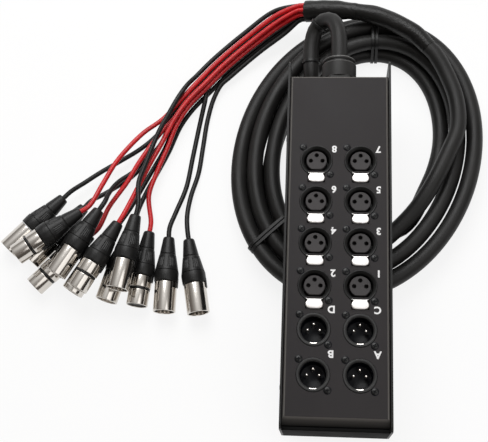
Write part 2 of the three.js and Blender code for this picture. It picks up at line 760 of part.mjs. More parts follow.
const glandExit = [0, nutFace - SEAT_GAP + THREAD_LENGTH + SEAT_GAP, GLAND_HEIGHT - floorLevel];
const coilIn = beyond(coilLine[0], coilLine[1], SEAT_GAP);
const coilOut = beyond(coilLine[coilLine.length - 1], coilLine[coilLine.length - 2], SEAT_GAP);
trunkPiece('trunk_lead', [
  vector(glandExit),
  vector([0, nutTip + SEAT_GAP, glandExit[2]]),
  ...TRUNK_LEAD_ROUTE.map(vector),
  beyond(coilIn, coilLine[0], TRUNK / 4),
  coilIn,
]);

const sleeveLine = SLEEVE_ROUTE.map(vector);
const sleeveEnd = sleeveLine[sleeveLine.length - 1];
const sleeveBefore = sleeveLine[sleeveLine.length - 2];
trunkPiece('trunk_run_out', [
  coilOut,
  beyond(coilOut, coilLine[coilLine.length - 1], TRUNK / 4),
  ...TRUNK_RUN_OUT_ROUTE.map(vector),
  beyond(sleeveLine[0], sleeveLine[1], TRUNK / 2),
  beyond(sleeveLine[0], sleeveLine[1], SEAT_GAP),
]);
mesh('fanout_sleeve', cord(sleeveLine, SLEEVE_RADIUS, SLEEVE_SIDES, TRUNK), rubber, ground);

// Places a plug: its own Z runs from the top of the boot to the nose, its Y is up.
function plugMatrix({ nose, heading, height = plugRest }) {
  const angle = (heading * Math.PI) / 180;
  const along = new THREE.Vector3(Math.cos(angle), Math.sin(angle), 0);
  const up = new THREE.Vector3(0, 0, 1);
  const matrix = new THREE.Matrix4().makeBasis(up.clone().cross(along), up, along);
  const start = new THREE.Vector3(...nose, height).addScaledVector(along, -plugLength);
  return matrix.setPosition(start);
}

function tailPoints(name, matrix, endGap) {
  const { packed, loose, stations, way } = TAIL_ROUTES[name];
  const side = (ahead, behind) => {
    const along = ahead.clone().sub(behind).setZ(0).normalize();
    return new THREE.Vector3(-along.y, along.x, 0);
  };
  const out = sleeveEnd.clone().sub(sleeveBefore).normalize();
  const across = side(sleeveEnd, sleeveBefore);
  const rise = out.clone().cross(across);
  const leave = beyond(sleeveEnd, sleeveBefore, SEAT_GAP)
    .addScaledVector(across, packed[1] * LANE_PITCH)
    .addScaledVector(rise, PACKED_ROW_SHARES[packed[0]] * LANE_PITCH);
  const line = [sleeveEnd, ...BUNDLE_ROUTE.map(vector)];
  const bundled = line.slice(1, 1 + stations).map((point, i) => {
    const ahead = line[Math.min(i + 2, line.length - 1)];
    return point.clone()
      .addScaledVector(side(ahead, line[i]), loose[1] * LANE_PITCH)
      .add(new THREE.Vector3(0, 0, (loose[0] - 1.5) * LANE_PITCH));
  });
  const onAxis = (distance) => new THREE.Vector3(0, 0, -distance).applyMatrix4(matrix);
  return [
    leave,
    leave.clone().addScaledVector(out, TAIL),
    ...bundled,
    ...way.map(vector),
    onAxis(2 * TAIL),
    onAxis(endGap),
  ];
}

// Boot: tapered neck, fluted waist and a collar that draws in to the shell, with a ring
// groove at each step
function boot() {
  const rings = [
    [0, BOOT_TOP, 0],
    [NECK_LENGTH - RING_WIDTH / 2, BOOT_NECK, 0],
    [NECK_LENGTH, BOOT_NECK - RING_GROOVE, 0],
    [NECK_LENGTH + RING_WIDTH / 2, BOOT_NECK + RING_GROOVE, FLUTE_DEPTH],
    [WAIST_LENGTH - RING_WIDTH / 2, BOOT_WAIST, FLUTE_DEPTH],
    [WAIST_LENGTH, BOOT_WAIST - RING_GROOVE, 0],
    [WAIST_LENGTH + RING_WIDTH, BOOT_COLLAR, 0],
    [BOOT_LENGTH - RING_WIDTH, BOOT_END, 0],
    [BOOT_LENGTH, BOOT_END - RING_GROOVE, 0],
  ];
  const corners = [0, 0, 0];
  rings.forEach(([height, radius, flute]) => {
    for (let k = 0; k < BOOT_SIDES; k += 1) {
      const angle = (2 * Math.PI * k) / BOOT_SIDES;
      const r = radius - (k % 2) * flute;
      corners.push(r * Math.cos(angle), r * Math.sin(angle), height);
    }
  });
  corners.push(0, 0, BOOT_LENGTH);
  const end = 1 + rings.length * BOOT_SIDES;
  const faces = [];
  for (let k = 0; k < BOOT_SIDES; k += 1) {
    const next = (k + 1) % BOOT_SIDES;
    faces.push(0, 1 + next, 1 + k);
    for (let i = 0; i + 1 < rings.length; i += 1) {
      const a = 1 + i * BOOT_SIDES;
      const b = a + BOOT_SIDES;
      faces.push(a + k, a + next, b + k);
      faces.push(a + next, b + next, b + k);
    }
    faces.push(end, end - BOOT_SIDES + k, end - BOOT_SIDES + next);
  }
  const geometry = new THREE.BufferGeometry();
  geometry.setAttribute('position', new THREE.BufferAttribute(new Float32Array(corners), 3));
  geometry.setIndex(faces);
  return solid(geometry);
}

// Send plug shell: an open nickel barrel round three pins
function sendShell() {
  const mouth = SHELL_RADIUS - SHELL_WALL;
  const seat = SHELL_LENGTH - SHELL_BORE;
  return turned([
    [0, 0],
    [SHELL_RADIUS - SHELL_EDGE, 0],
    [SHELL_RADIUS, SHELL_EDGE],
    [SHELL_RADIUS, SHELL_LENGTH - SHELL_EDGE],
    [SHELL_RADIUS - SHELL_EDGE, SHELL_LENGTH],
    [mouth, SHELL_LENGTH],
    [mouth, seat],
    [0, seat],
  ], SHELL_SIDES).add(joined(contacts(PIN_RADIUS, seat - SEAT_GAP, SHELL_LENGTH - PIN_SHORT)));
}

const latchStart = RING_LENGTH + GROOVE_LENGTH + RING_WIDTH;

// Return plug shell: wide ring, groove and nose, a keyed insert with three holes, and
// the pocket that the latch sinks into
function returnShell() {
  const body = turned([
    [0, 0],
    [SHELL_RADIUS - SHELL_EDGE, 0],
    [SHELL_RADIUS, SHELL_EDGE],
    [SHELL_RADIUS, RING_LENGTH],
    [GROOVE_RADIUS, RING_LENGTH],
    [GROOVE_RADIUS, RING_LENGTH + GROOVE_LENGTH],
    [NOSE_RADIUS, RING_LENGTH + GROOVE_LENGTH],
    [NOSE_RADIUS, SHELL_LENGTH - SHELL_EDGE],
    [NOSE_RADIUS - SHELL_EDGE, SHELL_LENGTH],
    [INSERT_RADIUS, SHELL_LENGTH],
    [INSERT_RADIUS, SHELL_LENGTH - SHELL_WALL],
    [0, SHELL_LENGTH - SHELL_WALL],
  ], SHELL_SIDES);
  const deep = LATCH_THICK - LATCH_PROUD + LATCH_TRAVEL + SEAT_GAP;
  const half = LATCH_WIDTH / 2 + SEAT_GAP;
  const pocket = block(
    NOSE_RADIUS - deep, NOSE_RADIUS + OVERRUN,
    -half, half,
    latchStart - SEAT_GAP, latchStart + LATCH_LENGTH + SEAT_GAP,
  ).rotate([0, 0, (LATCH_TURN * 180) / Math.PI]);
  return body
    .subtract(joined(contacts(HOLE_RADIUS, SHELL_LENGTH / 2, SHELL_LENGTH + OVERRUN)))
    .subtract(pocket);
}

function latch() {
  const out = NOSE_RADIUS + LATCH_PROUD;
  return block(
    out - LATCH_THICK, out + OVERRUN,
    -LATCH_WIDTH / 2, LATCH_WIDTH / 2,
    latchStart, latchStart + LATCH_LENGTH,
  ).intersect(rod(out, 0, SHELL_LENGTH, ROUND_SIDES, Math.PI / 2));
}

const bootBody = boot();
const sendShellBody = sendShell();
const returnShellBody = returnShell();
const latchBody = latch();
Object.keys(PLUGS).forEach((name) => {
  const matrix = plugMatrix(PLUGS[name]);
  const isSend = name.startsWith('send');
  const plug = new THREE.Group();
  plug.applyMatrix4(matrix);
  ground.add(plug);
  const points = tailPoints(name, matrix, isSend ? -RING_WIDTH : SEAT_GAP);
  const tail = cord(points, TAIL / 2, TAIL_SIDES, STEP_DIAMETERS * TAIL);
  const shellPlace = BOOT_LENGTH + SEAT_GAP;
  if (isSend) {
    mesh(`${name}_tail`, tail.add(bootBody.transform(matrix.elements)), jacket, ground);
    mesh(`${name}_shell`, sendShellBody, nickel, plug).position.z = shellPlace;
  } else {
    mesh(`${name}_tail`, tail, redJacket, ground);
    mesh(`${name}_boot`, bootBody, rubber, plug);
    mesh(`${name}_shell`, returnShellBody, nickel, plug).position.z = shellPlace;
    const catchPiece = mesh(`${name}_latch`, latchBody, silver, plug);
    catchPiece.position.z = shellPlace;
    catchPiece.rotation.z = LATCH_TURN;
  }
});

// The origin is the middle of the box with its gland, without the cords.
box.position.set(0, -nutTip / 2, -BOX_HEIGHT / 2);

export default part;
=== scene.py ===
# %% [markdown]
# # A stage box with its snake
#
# This notebook dresses the measured solids of a stage box: a low steel case with
# sockets in its face, a thick trunk cable coiled under it, and twelve thin tails with
# plugs. The solids give every place and size, and each cell below adds what the eye
# wants: rounded edges, real cord, bright nickel, rubber, and paint with a fine grain.
#
# All numbers named in millimetres are turned into metres where they are used.

# %% Load the measured model
import json
import math
import bmesh
import bpy
from mathutils import Matrix, Vector

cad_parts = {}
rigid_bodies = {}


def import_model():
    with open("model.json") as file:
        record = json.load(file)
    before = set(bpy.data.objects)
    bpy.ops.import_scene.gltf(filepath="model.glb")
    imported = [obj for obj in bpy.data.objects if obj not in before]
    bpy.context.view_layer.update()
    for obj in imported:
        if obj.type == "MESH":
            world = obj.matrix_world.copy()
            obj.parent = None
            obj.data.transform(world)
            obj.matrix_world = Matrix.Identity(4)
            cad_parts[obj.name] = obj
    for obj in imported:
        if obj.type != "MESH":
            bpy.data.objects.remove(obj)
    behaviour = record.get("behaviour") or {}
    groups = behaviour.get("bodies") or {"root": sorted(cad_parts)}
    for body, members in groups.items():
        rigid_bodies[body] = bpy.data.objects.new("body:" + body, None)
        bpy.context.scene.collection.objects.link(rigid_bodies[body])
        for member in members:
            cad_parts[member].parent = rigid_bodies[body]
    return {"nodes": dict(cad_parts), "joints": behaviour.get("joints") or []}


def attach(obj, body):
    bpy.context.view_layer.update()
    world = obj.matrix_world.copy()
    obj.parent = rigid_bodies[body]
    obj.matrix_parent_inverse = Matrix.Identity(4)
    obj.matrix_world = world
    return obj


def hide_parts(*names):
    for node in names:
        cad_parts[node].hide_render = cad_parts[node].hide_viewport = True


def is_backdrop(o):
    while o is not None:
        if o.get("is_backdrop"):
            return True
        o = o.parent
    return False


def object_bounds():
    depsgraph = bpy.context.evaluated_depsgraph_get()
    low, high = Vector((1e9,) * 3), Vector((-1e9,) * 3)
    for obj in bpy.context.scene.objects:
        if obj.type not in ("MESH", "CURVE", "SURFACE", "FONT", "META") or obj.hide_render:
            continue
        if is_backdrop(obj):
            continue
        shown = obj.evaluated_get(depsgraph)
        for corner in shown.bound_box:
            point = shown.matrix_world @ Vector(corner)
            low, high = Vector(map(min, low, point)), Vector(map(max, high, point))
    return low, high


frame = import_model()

MM = 0.001
cad_bounds = [list(corner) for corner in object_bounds()]
case_body = frame["joints"][0]["parent"]

# %% [markdown]
# ## The camera
#
# The photographer stood at the closed end of the box and looked almost straight down,
# with the camera turned a little. A camera in Blender looks along its own minus Z, so
# its place is told by three directions: right, up, and back towards the photographer.
# The roll then turns right and up about the line of sight.

# %% Camera
FRAME_WIDTH_PX = 488
FOCAL_PX = 958.7
SENSOR_WIDTH = 36.0
CAMERA_PLACE = Vector((-9.27, -218.58, 734.81)) * MM
CAMERA_BACK = Vector((0.085122, -0.299178, 0.950403))
CAMERA_ROLL = math.radians(-14.311)

level_right = Vector((0, 0, 1)).cross(CAMERA_BACK).normalized()
level_up = CAMERA_BACK.cross(level_right)
camera_right = math.cos(CAMERA_ROLL) * level_right + math.sin(CAMERA_ROLL) * level_up
camera_up = CAMERA_BACK.cross(camera_right)
camera = bpy.data.objects.new("camera", bpy.data.cameras.new("camera"))
camera.data.sensor_width = SENSOR_WIDTH
camera.data.lens = FOCAL_PX / FRAME_WIDTH_PX * SENSOR_WIDTH
camera.matrix_world = Matrix.Translation(CAMERA_PLACE) @ Matrix(
    (camera_right, camera_up, CAMERA_BACK)).transposed().to_4x4()
bpy.context.scene.collection.objects.link(camera)
bpy.context.scene.camera = camera
print("lens:", round(camera.data.lens, 1), "mm")

# %% [markdown]
# ## Where things lie
#
# The heights of cords and plugs are told from the surface that they lie on, because
# that is how a person would measure a heap of cable. The case rests on the coil, so its
# own heights start there. The two other numbers of a place are measured across from the
# middle, and along from the closed end of the case. The model's own frame has its middle
# halfway between that end and the tip of the gland's nut, and two small functions turn
# places into it.

# %% Places in the model's frame
NUT_TIP = 307.0
CASE_HEIGHT = 57.0
CASE_REST = 26.64
DECK = 54.5
floor_height = -(CASE_REST + CASE_HEIGHT / 2) * MM


def place(x, y, height):
    """A point told in millimetres, with its height above the floor."""
    return Vector((x, y - NUT_TIP / 2, 0)) * MM + Vector((0, 0, floor_height + height * MM))


def on_deck(x, y, height=0.0):
    """A point over the socket deck of the case."""
    return place(x, y, CASE_REST + DECK + height)


print("floor at", round(floor_height, 5), "m")

# %% [markdown]
# ## The line of a cord
#
# A cord takes a smooth line through the places where it was laid. A Catmull-Rom curve
# does that: it passes through every point, and its direction at a point comes from the
# neighbours on both sides. The centripetal kind spaces the points by the square root of
# their distance, which keeps it from looping where two points lie close together.

# %% Smooth line through points
def flowing(points, spacing):
    """Points about one spacing apart on the smooth curve through the points given."""
    ends = [2 * points[0] - points[1], *points, 2 * points[-1] - points[-2]]
    line = [points[0].copy()]
    for a, b, c, d in zip(ends, ends[1:], ends[2:], ends[3:]):
        before, here, after = (math.sqrt((q - p).length) for p, q in ((a, b), (b, c), (c, d)))
        leave = ((b - a) / before - (c - a) / (before + here) + (c - b) / here) * here
        arrive = ((c - b) / here - (d - b) / (here + after) + (d - c) / after) * here
        steps = max(1, round((c - b).length / spacing))
        for step in range(1, steps + 1):
            t = step / steps
            line.append(
                (2 * t**3 - 3 * t**2 + 1) * b + (t**3 - 2 * t**2 + t) * leave
                + (3 * t**2 - 2 * t**3) * c + (t**3 - t**2) * arrive)
    return line


def line_length(line):
    """The length of a line of points."""
    return sum((q - p).length for p, q in zip(line, line[1:]))


straight = flowing([Vector((0, 0, 0)), Vector((1, 0, 0))], 0.1)
print("a straight metre measures", round(line_length(straight), 3), "m in", len(straight), "points")

# %% [markdown]
# ## The coil's centre line
#
# The trunk winds outward on the floor for two and a half turns, climbs while it reverses,
# and winds inward again on top. The coil is a leaning oval, so each of its points comes
# from an angle. Its distance from the middle grows with the angle by one track for each
# turn, and shrinks again on the upper layer. A short parabola joins the way out and the
# way in, so that the line has no corner there.

# %% Coil
TRUNK = 13.6
TRACK_PITCH = 14.8
LAYER_PITCH = 14.1
LOWER_LAYER = 5.44
COIL_ACROSS, COIL_ALONG = 84.2, 114.2
COIL_LEAN = -0.3
COIL_CENTRE = (18.9, 242.6)
COIL_START, COIL_REVERSE, COIL_END = -10, 890, 1745
COIL_STEP = 15
REVERSE_HALF = 90
LANDING = 30
END_TUCK = 1.9


def smooth(value):
    """A share from 0 to 1 with a slow start and a slow end."""
    t = min(max(value, 0), 1)
    return t * t * (3 - 2 * t)


def coil_point(degrees):
    """A point of the coil's centre line: out on the floor, back on the upper layer."""
    past = degrees - COIL_REVERSE
    turned = abs(past)
    if turned < REVERSE_HALF:
        turned = past * past / (2 * REVERSE_HALF) + REVERSE_HALF / 2
    from_end = min(degrees - COIL_START, COIL_END - degrees)
    track = ((COIL_REVERSE - COIL_START) / 2 - turned) / 360 * TRACK_PITCH
    track -= END_TUCK * (1 - smooth(from_end / LANDING))
    angle = math.radians(degrees)
    x, y = (COIL_ACROSS + track) * math.cos(angle), (COIL_ALONG + track) * math.sin(angle)
    landing = (TRUNK / 2 - LOWER_LAYER) * (1 - smooth((degrees - COIL_START) / LANDING))
    climb = LAYER_PITCH * smooth((past + REVERSE_HALF) / (2 * REVERSE_HALF))
    across, along = math.cos(COIL_LEAN), math.sin(COIL_LEAN)
    return place(
        COIL_CENTRE[0] + x * across - y * along,
        COIL_CENTRE[1] + x * along + y * across, LOWER_LAYER + landing + climb)


coil_route = [coil_point(degrees) for degrees in range(COIL_START, COIL_END + 1, COIL_STEP)]
print("coil:", round(line_length(flowing(coil_route, 5 * MM)), 3), "m")

# %% [markdown]
# ## The route of the trunk
#
# The trunk is one cable from the gland to the sleeve. It leaves the gland, turns back
# under the case and joins the coil. From the coil's end it climbs over both layers and
# runs to the sleeve. The loose stretches follow no rule, so their points are told one by
# one, as a hand would lay them.

# %% Trunk route
TRUNK_LEAD = [
    (0, 282.5, 59.64), (0, 307.3, 59.64), (0, 320, 59.6), (-1, 335, 58.2), (-6, 348, 53),
    (-14, 352, 46), (-21, 346, 39.5), (-24, 332, 35.6), (-24, 318, 34.4), (-23.5, 306, 32.6),
    (-22.5, 295, 26.6), (-21.5, 285, 18.9), (-20, 268, 12.3), (-16, 247, 8), (-7, 226, 6.9),
    (8, 203, 6.9), (24, 185.5, 6.9), (38, 176, 6.9), (50.5, 175, 6.9), (58.5, 180.5, 6.9),
    (65.2, 189.6, 6.8)]
TRUNK_RUN_OUT = [
    (58, 180, 23.4), (71, 196, 28.6), (82, 214.5, 32.8), (92, 236, 34), (100, 257, 34),
    (99.5, 283, 34), (91.5, 308, 34.5)]
SLEEVE_ROUTE = [
    (77, 331.5, 36.3), (66, 344, 36.4), (52, 353.5, 36.4), (35, 361.5, 36.3),
    (15, 367.5, 35), (-9, 371.5, 30.5), (-29.6, 373.5, 25)]

sleeve_start = place(*SLEEVE_ROUTE[0])
into_sleeve = (place(*SLEEVE_ROUTE[1]) - sleeve_start).normalized()
seated = [sleeve_start + reach * MM * into_sleeve for reach in (-TRUNK / 2, -0.3, 3)]
lead_route, run_out_route = [[place(*p) for p in way] for way in (TRUNK_LEAD, TRUNK_RUN_OUT)]
trunk_line = flowing([*lead_route, *coil_route, *run_out_route, *seated], 5 * MM)

# %% [markdown]
# ## Short words for shader nodes
#
# A material in Blender is a graph of nodes. Three small helpers keep the graphs below
# readable: one makes a node and sets its values, one makes a colour ramp from its stops,
# and one draws links from a list.

# %% Nodes, ramps and links
def add_node(tree, kind, **values):
    """A shader node of a kind, with its settings and the values of its inputs."""
    node = tree.nodes.new("ShaderNode" + kind)
    for label, value in values.items():
        if label in ("operation", "data_type"):
            setattr(node, label, value)
        else:
            node.inputs[label.replace("_", " ")].default_value = value
    return node


def add_ramp(tree, stops):
    """A colour ramp with stops of (position, colour)."""
    ramp = add_node(tree, "ValToRGB")
    for _ in stops[2:]:
        ramp.color_ramp.elements.new(0.5)
    for element, (position, colour) in zip(ramp.color_ramp.elements, stops):
        element.position = position
        element.color = (*colour, 1)
    return ramp


def wire(tree, *links):
    """Links told as (from node, its output, to node, its input)."""
    for source, output, target, entry in links:
        tree.links.new(source.outputs[output], target.inputs[entry])


print("materials so far:", len(bpy.data.materials))

# %% [markdown]
# ## A recipe for finishes
#
# Real black things are never one flat black. Each finish here starts from the same
# recipe: a soft noise that shifts the colour a little between two tones and makes the
# gloss uneven, and a fine noise that raises a grain too small to model. The recipe takes
# the tones, the gloss range and the grain. A stretch draws the noise out along one axis,
# which is how drawn metal looks.

# %% A recipe for finishes
TONE_STOPS = (0.35, 0.65)


def finish(name, tones, gloss, grain, tone_scale=40, metallic=0.0, stretch=(1, 1, 1), specular=0.5):
    """A material with two tones, a range of roughness and a raised grain (scale, depth in mm)."""
    material = bpy.data.materials.new(name)
    material.use_nodes = True
    tree = material.node_tree
    shader = tree.nodes["Principled BSDF"]
    shader.inputs["Metallic"].default_value = metallic
    shader.inputs["Specular IOR Level"].default_value = specular
    where = add_node(tree, "TexCoord")
    drawn = add_node(tree, "Mapping", Scale=stretch)
    broad = add_node(tree, "TexNoise", Scale=tone_scale, Detail=4)
    ramp = add_ramp(tree, list(zip(TONE_STOPS, tones)))
    spread = add_node(tree, "MapRange", From_Min=0.3, From_Max=0.7, To_Min=gloss[0], To_Max=gloss[1])
    fine = add_node(tree, "TexNoise", Scale=grain[0])
    bump = add_node(tree, "Bump", Distance=grain[1] * MM)
    wire(
        tree, (where, "Object", drawn, "Vector"), (drawn, "Vector", broad, "Vector"),
        (drawn, "Vector", fine, "Vector"), (broad, "Fac", ramp, "Fac"),
        (ramp, "Color", shader, "Base Color"), (broad, "Fac", spread, "Value"),
        (spread, "Result", shader, "Roughness"), (fine, "Fac", bump, "Height"),
        (bump, "Normal", shader, "Normal"))
    return material


def grey(value, warmth=0.0):
    """A near-neutral tone: warmth adds red and takes blue away."""
    return (value * (1 + warmth), value, value * (1 - warmth))


def greys(dark, pale, warmth=0.0):
    """Two near-neutral tones."""
    return (grey(dark, warmth), grey(pale, warmth))


print("a warm grey:", [round(part, 3) for part in grey(0.5, 0.03)])

# %% [markdown]
# ## Paint, moulding and nylon
#
# The case is powder coated, and so matt that its grain shows only close up. Its deck has
# lighter, warmer tones than the walls: the lighter tone is painted light, for the deck that
# lies in the light. The socket mouldings are smoother, and the gland is a coarser nylon
# whose rims are painted pale as a painted highlight. The return bores, the screws' seats and
# the tray's end flange are painted darker as painted shade. A low specular level keeps black
# surfaces black where they face the white paper.

# %% Finishes of the case
DULL, SOFT, DEEP = 0.2, 0.3, 0.12
PAINT_GRAIN, MOULDED_GRAIN, NYLON_GRAIN = (2600, 0.05), (3500, 0.02), (1800, 0.03)
# Lighter than the case's coat: painted light on the deck, which faces the lamps; a little warmer as well.
PAINTED_LIGHT_DECK_TONES = ((0.025, 0.0225, 0.0235), (0.030, 0.027, 0.028))
DECK_GLOSS, DECK_SPECULAR = (0.46, 0.58), 0.16
INSERT_TONES = ((0.045, 0.042, 0.043), (0.055, 0.051, 0.052))
# Near black, faintly blue: painted shade for the deep bores, also used for the screws' painted shadows.
PAINTED_SHADE_BORE_TONES = ((0.0025, 0.003, 0.005), (0.004, 0.005, 0.008))
case_paint = finish("case_powder_coat", greys(0.006, 0.010), (0.4, 0.52), PAINT_GRAIN, specular=SOFT)
deck_paint_painted_light = finish("deck_coat_painted_light", PAINTED_LIGHT_DECK_TONES, DECK_GLOSS, PAINT_GRAIN, 25, specular=DECK_SPECULAR)
# A darker copy of the case's coat for the end flange: painted shade.
flange_paint_painted_shade = finish("flange_coat_painted_shade", greys(0.004, 0.007), (0.8, 0.95), PAINT_GRAIN, specular=DEEP)
moulded = finish("moulded_black", greys(0.004, 0.006), (0.3, 0.42), MOULDED_GRAIN, specular=0.38)
insert_grey = finish("insert_face", INSERT_TONES, (0.45, 0.55), (3500, 0.03), specular=DULL)
ring_grey = finish("return_ring", greys(0.024, 0.030), (0.34, 0.44), MOULDED_GRAIN, specular=SOFT)
painted_shade_black = finish("painted_shade_black", PAINTED_SHADE_BORE_TONES, (0.25, 0.35), MOULDED_GRAIN, specular=DEEP)
gland_nylon = finish("gland_nylon", greys(0.012, 0.018, 0.03), (0.46, 0.56), NYLON_GRAIN, specular=SOFT)
# Pale nylon for the nut's two edges: a painted highlight.
painted_highlight_nylon = finish("painted_highlight_nylon", greys(0.10, 0.16, 0.02), (0.32, 0.42), NYLON_GRAIN)
dark_screw = finish("dark_screw", greys(0.005, 0.009), (0.22, 0.3), (2600, 0.02), 90, specular=SOFT)
label_ink = finish("label_ink", greys(0.82, 0.88), (0.5, 0.6), (3500, 0.01))
print("finishes of the case:", len(bpy.data.materials))

# %% [markdown]
# ## Metal, rubber and jackets
#
# The plugs are nickel, bright and a little warm, with the faint lengthwise marks of the
# drawing die. The tabs are a coarser cast metal. The trunk's jacket is a dry, faintly
# brown black, and the tails are smoother, some black and some red. Boots, sleeve and
# ties are three more blacks that differ in gloss and grain.

# %% Finishes of the cords and plugs
LENGTHWISE = (1, 1, 0.08)
TAB_TONES = ((0.84, 0.81, 0.79), (0.93, 0.91, 0.90))
NICKEL_TONES = ((0.62, 0.585, 0.54), (0.72, 0.69, 0.65))
RED_TONES = ((0.52, 0.006, 0.010), (0.64, 0.012, 0.016))
CONTACT_TONES = (grey(0.8, 0.06), grey(0.9, 0.04))
bright_tab = finish("bright_tab", TAB_TONES, (0.34, 0.46), (1400, 0.06), 220, 1.0)
nickel = finish("plug_nickel", NICKEL_TONES, (0.1, 0.17), (900, 0.01), 60, 1.0, LENGTHWISE)
contact_metal = finish("contact_metal", CONTACT_TONES, (0.18, 0.28), (3000, 0.01), 90, 1.0)
trunk_jacket = finish(
    "trunk_jacket", greys(0.009, 0.015, 0.03), (0.42, 0.54), (900, 0.12), 30, specular=SOFT)
black_jacket = finish(
    "black_tail_jacket", greys(0.006, 0.011), (0.36, 0.5), (1500, 0.06), 60, specular=SOFT)
red_jacket = finish("red_tail_jacket", RED_TONES, (0.32, 0.44), (1500, 0.05), 60)
boot_rubber = finish("boot_rubber", greys(0.009, 0.014), (0.36, 0.48), (2200, 0.04), specular=SOFT)
shrink = finish("shrink_sleeve", greys(0.006, 0.010, 0.04), (0.32, 0.46), (420, 0.3), 50, specular=SOFT)
nylon_tie = finish("nylon_tie", greys(0.012, 0.018), (0.28, 0.4), (2600, 0.02), specular=SOFT)
print("finishes:", len(bpy.data.materials))

# %% [markdown]
# ## From mesh to piece
#
# Every piece goes through the same two steps. First its mesh becomes mesh data that has
# smooth shading, sharp lines where the form really has an edge, and a material. Several
# pieces can share one such data. Then a piece is set at its place and rides on its body,
# so that it moves when that body does.

# %% Mesh data and pieces
def mesh_data(name, mesh, material, crease=40):
    """Mesh data with smooth shading, edges sharper than the crease kept, and a material."""
    data = bpy.data.meshes.new(name)
    bmesh.ops.recalc_face_normals(mesh, faces=mesh.faces)
    mesh.to_mesh(data)
    mesh.free()
    data.materials.append(material)
    data.shade_smooth()
    data.set_sharp_from_angle(angle=math.radians(crease))
    return data


def set_out(name, data, where=Matrix(), body=case_body):
    """A piece with the mesh given, set at its place and riding on its body."""
    piece = bpy.data.objects.new(name, data)
    piece.matrix_world = where
    bpy.context.scene.collection.objects.link(piece)
    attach(piece, body)
    return piece


print("pieces ride on", case_body, "unless told otherwise")

# %% [markdown]
# ## From line to cord
#
# A cord is a ring of points carried along its line. Each new ring is turned only as far
# as the line itself turns, so the tube doesn't twist. A lowest height presses the
# underside flat where a heavy cable lies on the floor.

# %% Tube along a line
def swept(name, line, radii, material, sides=14, lowest=None, wrinkle=None):
    """A closed tube of the radius given at each point of the line."""
    mesh = bmesh.new()
    side = None
    rings = []
    for i, (point, radius) in enumerate(zip(line, radii)):
        along = (line[min(i + 1, len(line) - 1)] - line[max(i - 1, 0)]).normalized()
        side = along.orthogonal() if side is None else side - side.dot(along) * along
        side.normalize()
        across = along.cross(side)
        ring = []
        for k in range(sides):
            angle = 2 * math.pi * k / sides
            out = radius + (wrinkle(angle, i / (len(line) - 1)) if wrinkle else 0)
            corner = point + out * (math.cos(angle) * side + math.sin(angle) * across)
            if lowest is not None:
                corner.z = max(corner.z, lowest)
            ring.append(mesh.verts.new(corner))
        rings.append(ring)
    for near, far in zip(rings, rings[1:]):
        for k in range(sides):
            mesh.faces.new((near[k], near[(k + 1) % sides], far[(k + 1) % sides], far[k]))
    mesh.faces.new(reversed(rings[0]))
    mesh.faces.new(rings[-1])
    return set_out(name, mesh_data(name, mesh, material))


trunk = swept("trunk", trunk_line, [TRUNK / 2 * MM] * len(trunk_line), trunk_jacket, 24, floor_height)
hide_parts("trunk_lead", "trunk_coil", "trunk_run_out")
print("trunk corners:", len(trunk.data.vertices))

# %% [markdown]
# ## Twelve tails
#
# At the sleeve the trunk's cores part into twelve thin tails. They leave it packed in
# four rows, run beside each other as a bundle, and then go their own ways to the plugs.
# Each entry tells a tail's row and lane where the sleeve packs it, those that it takes in
# the loose bundle, how many stations of the bundle it keeps to, its plug's nose with its
# height, the plug's heading in degrees, and the last places of its own way.

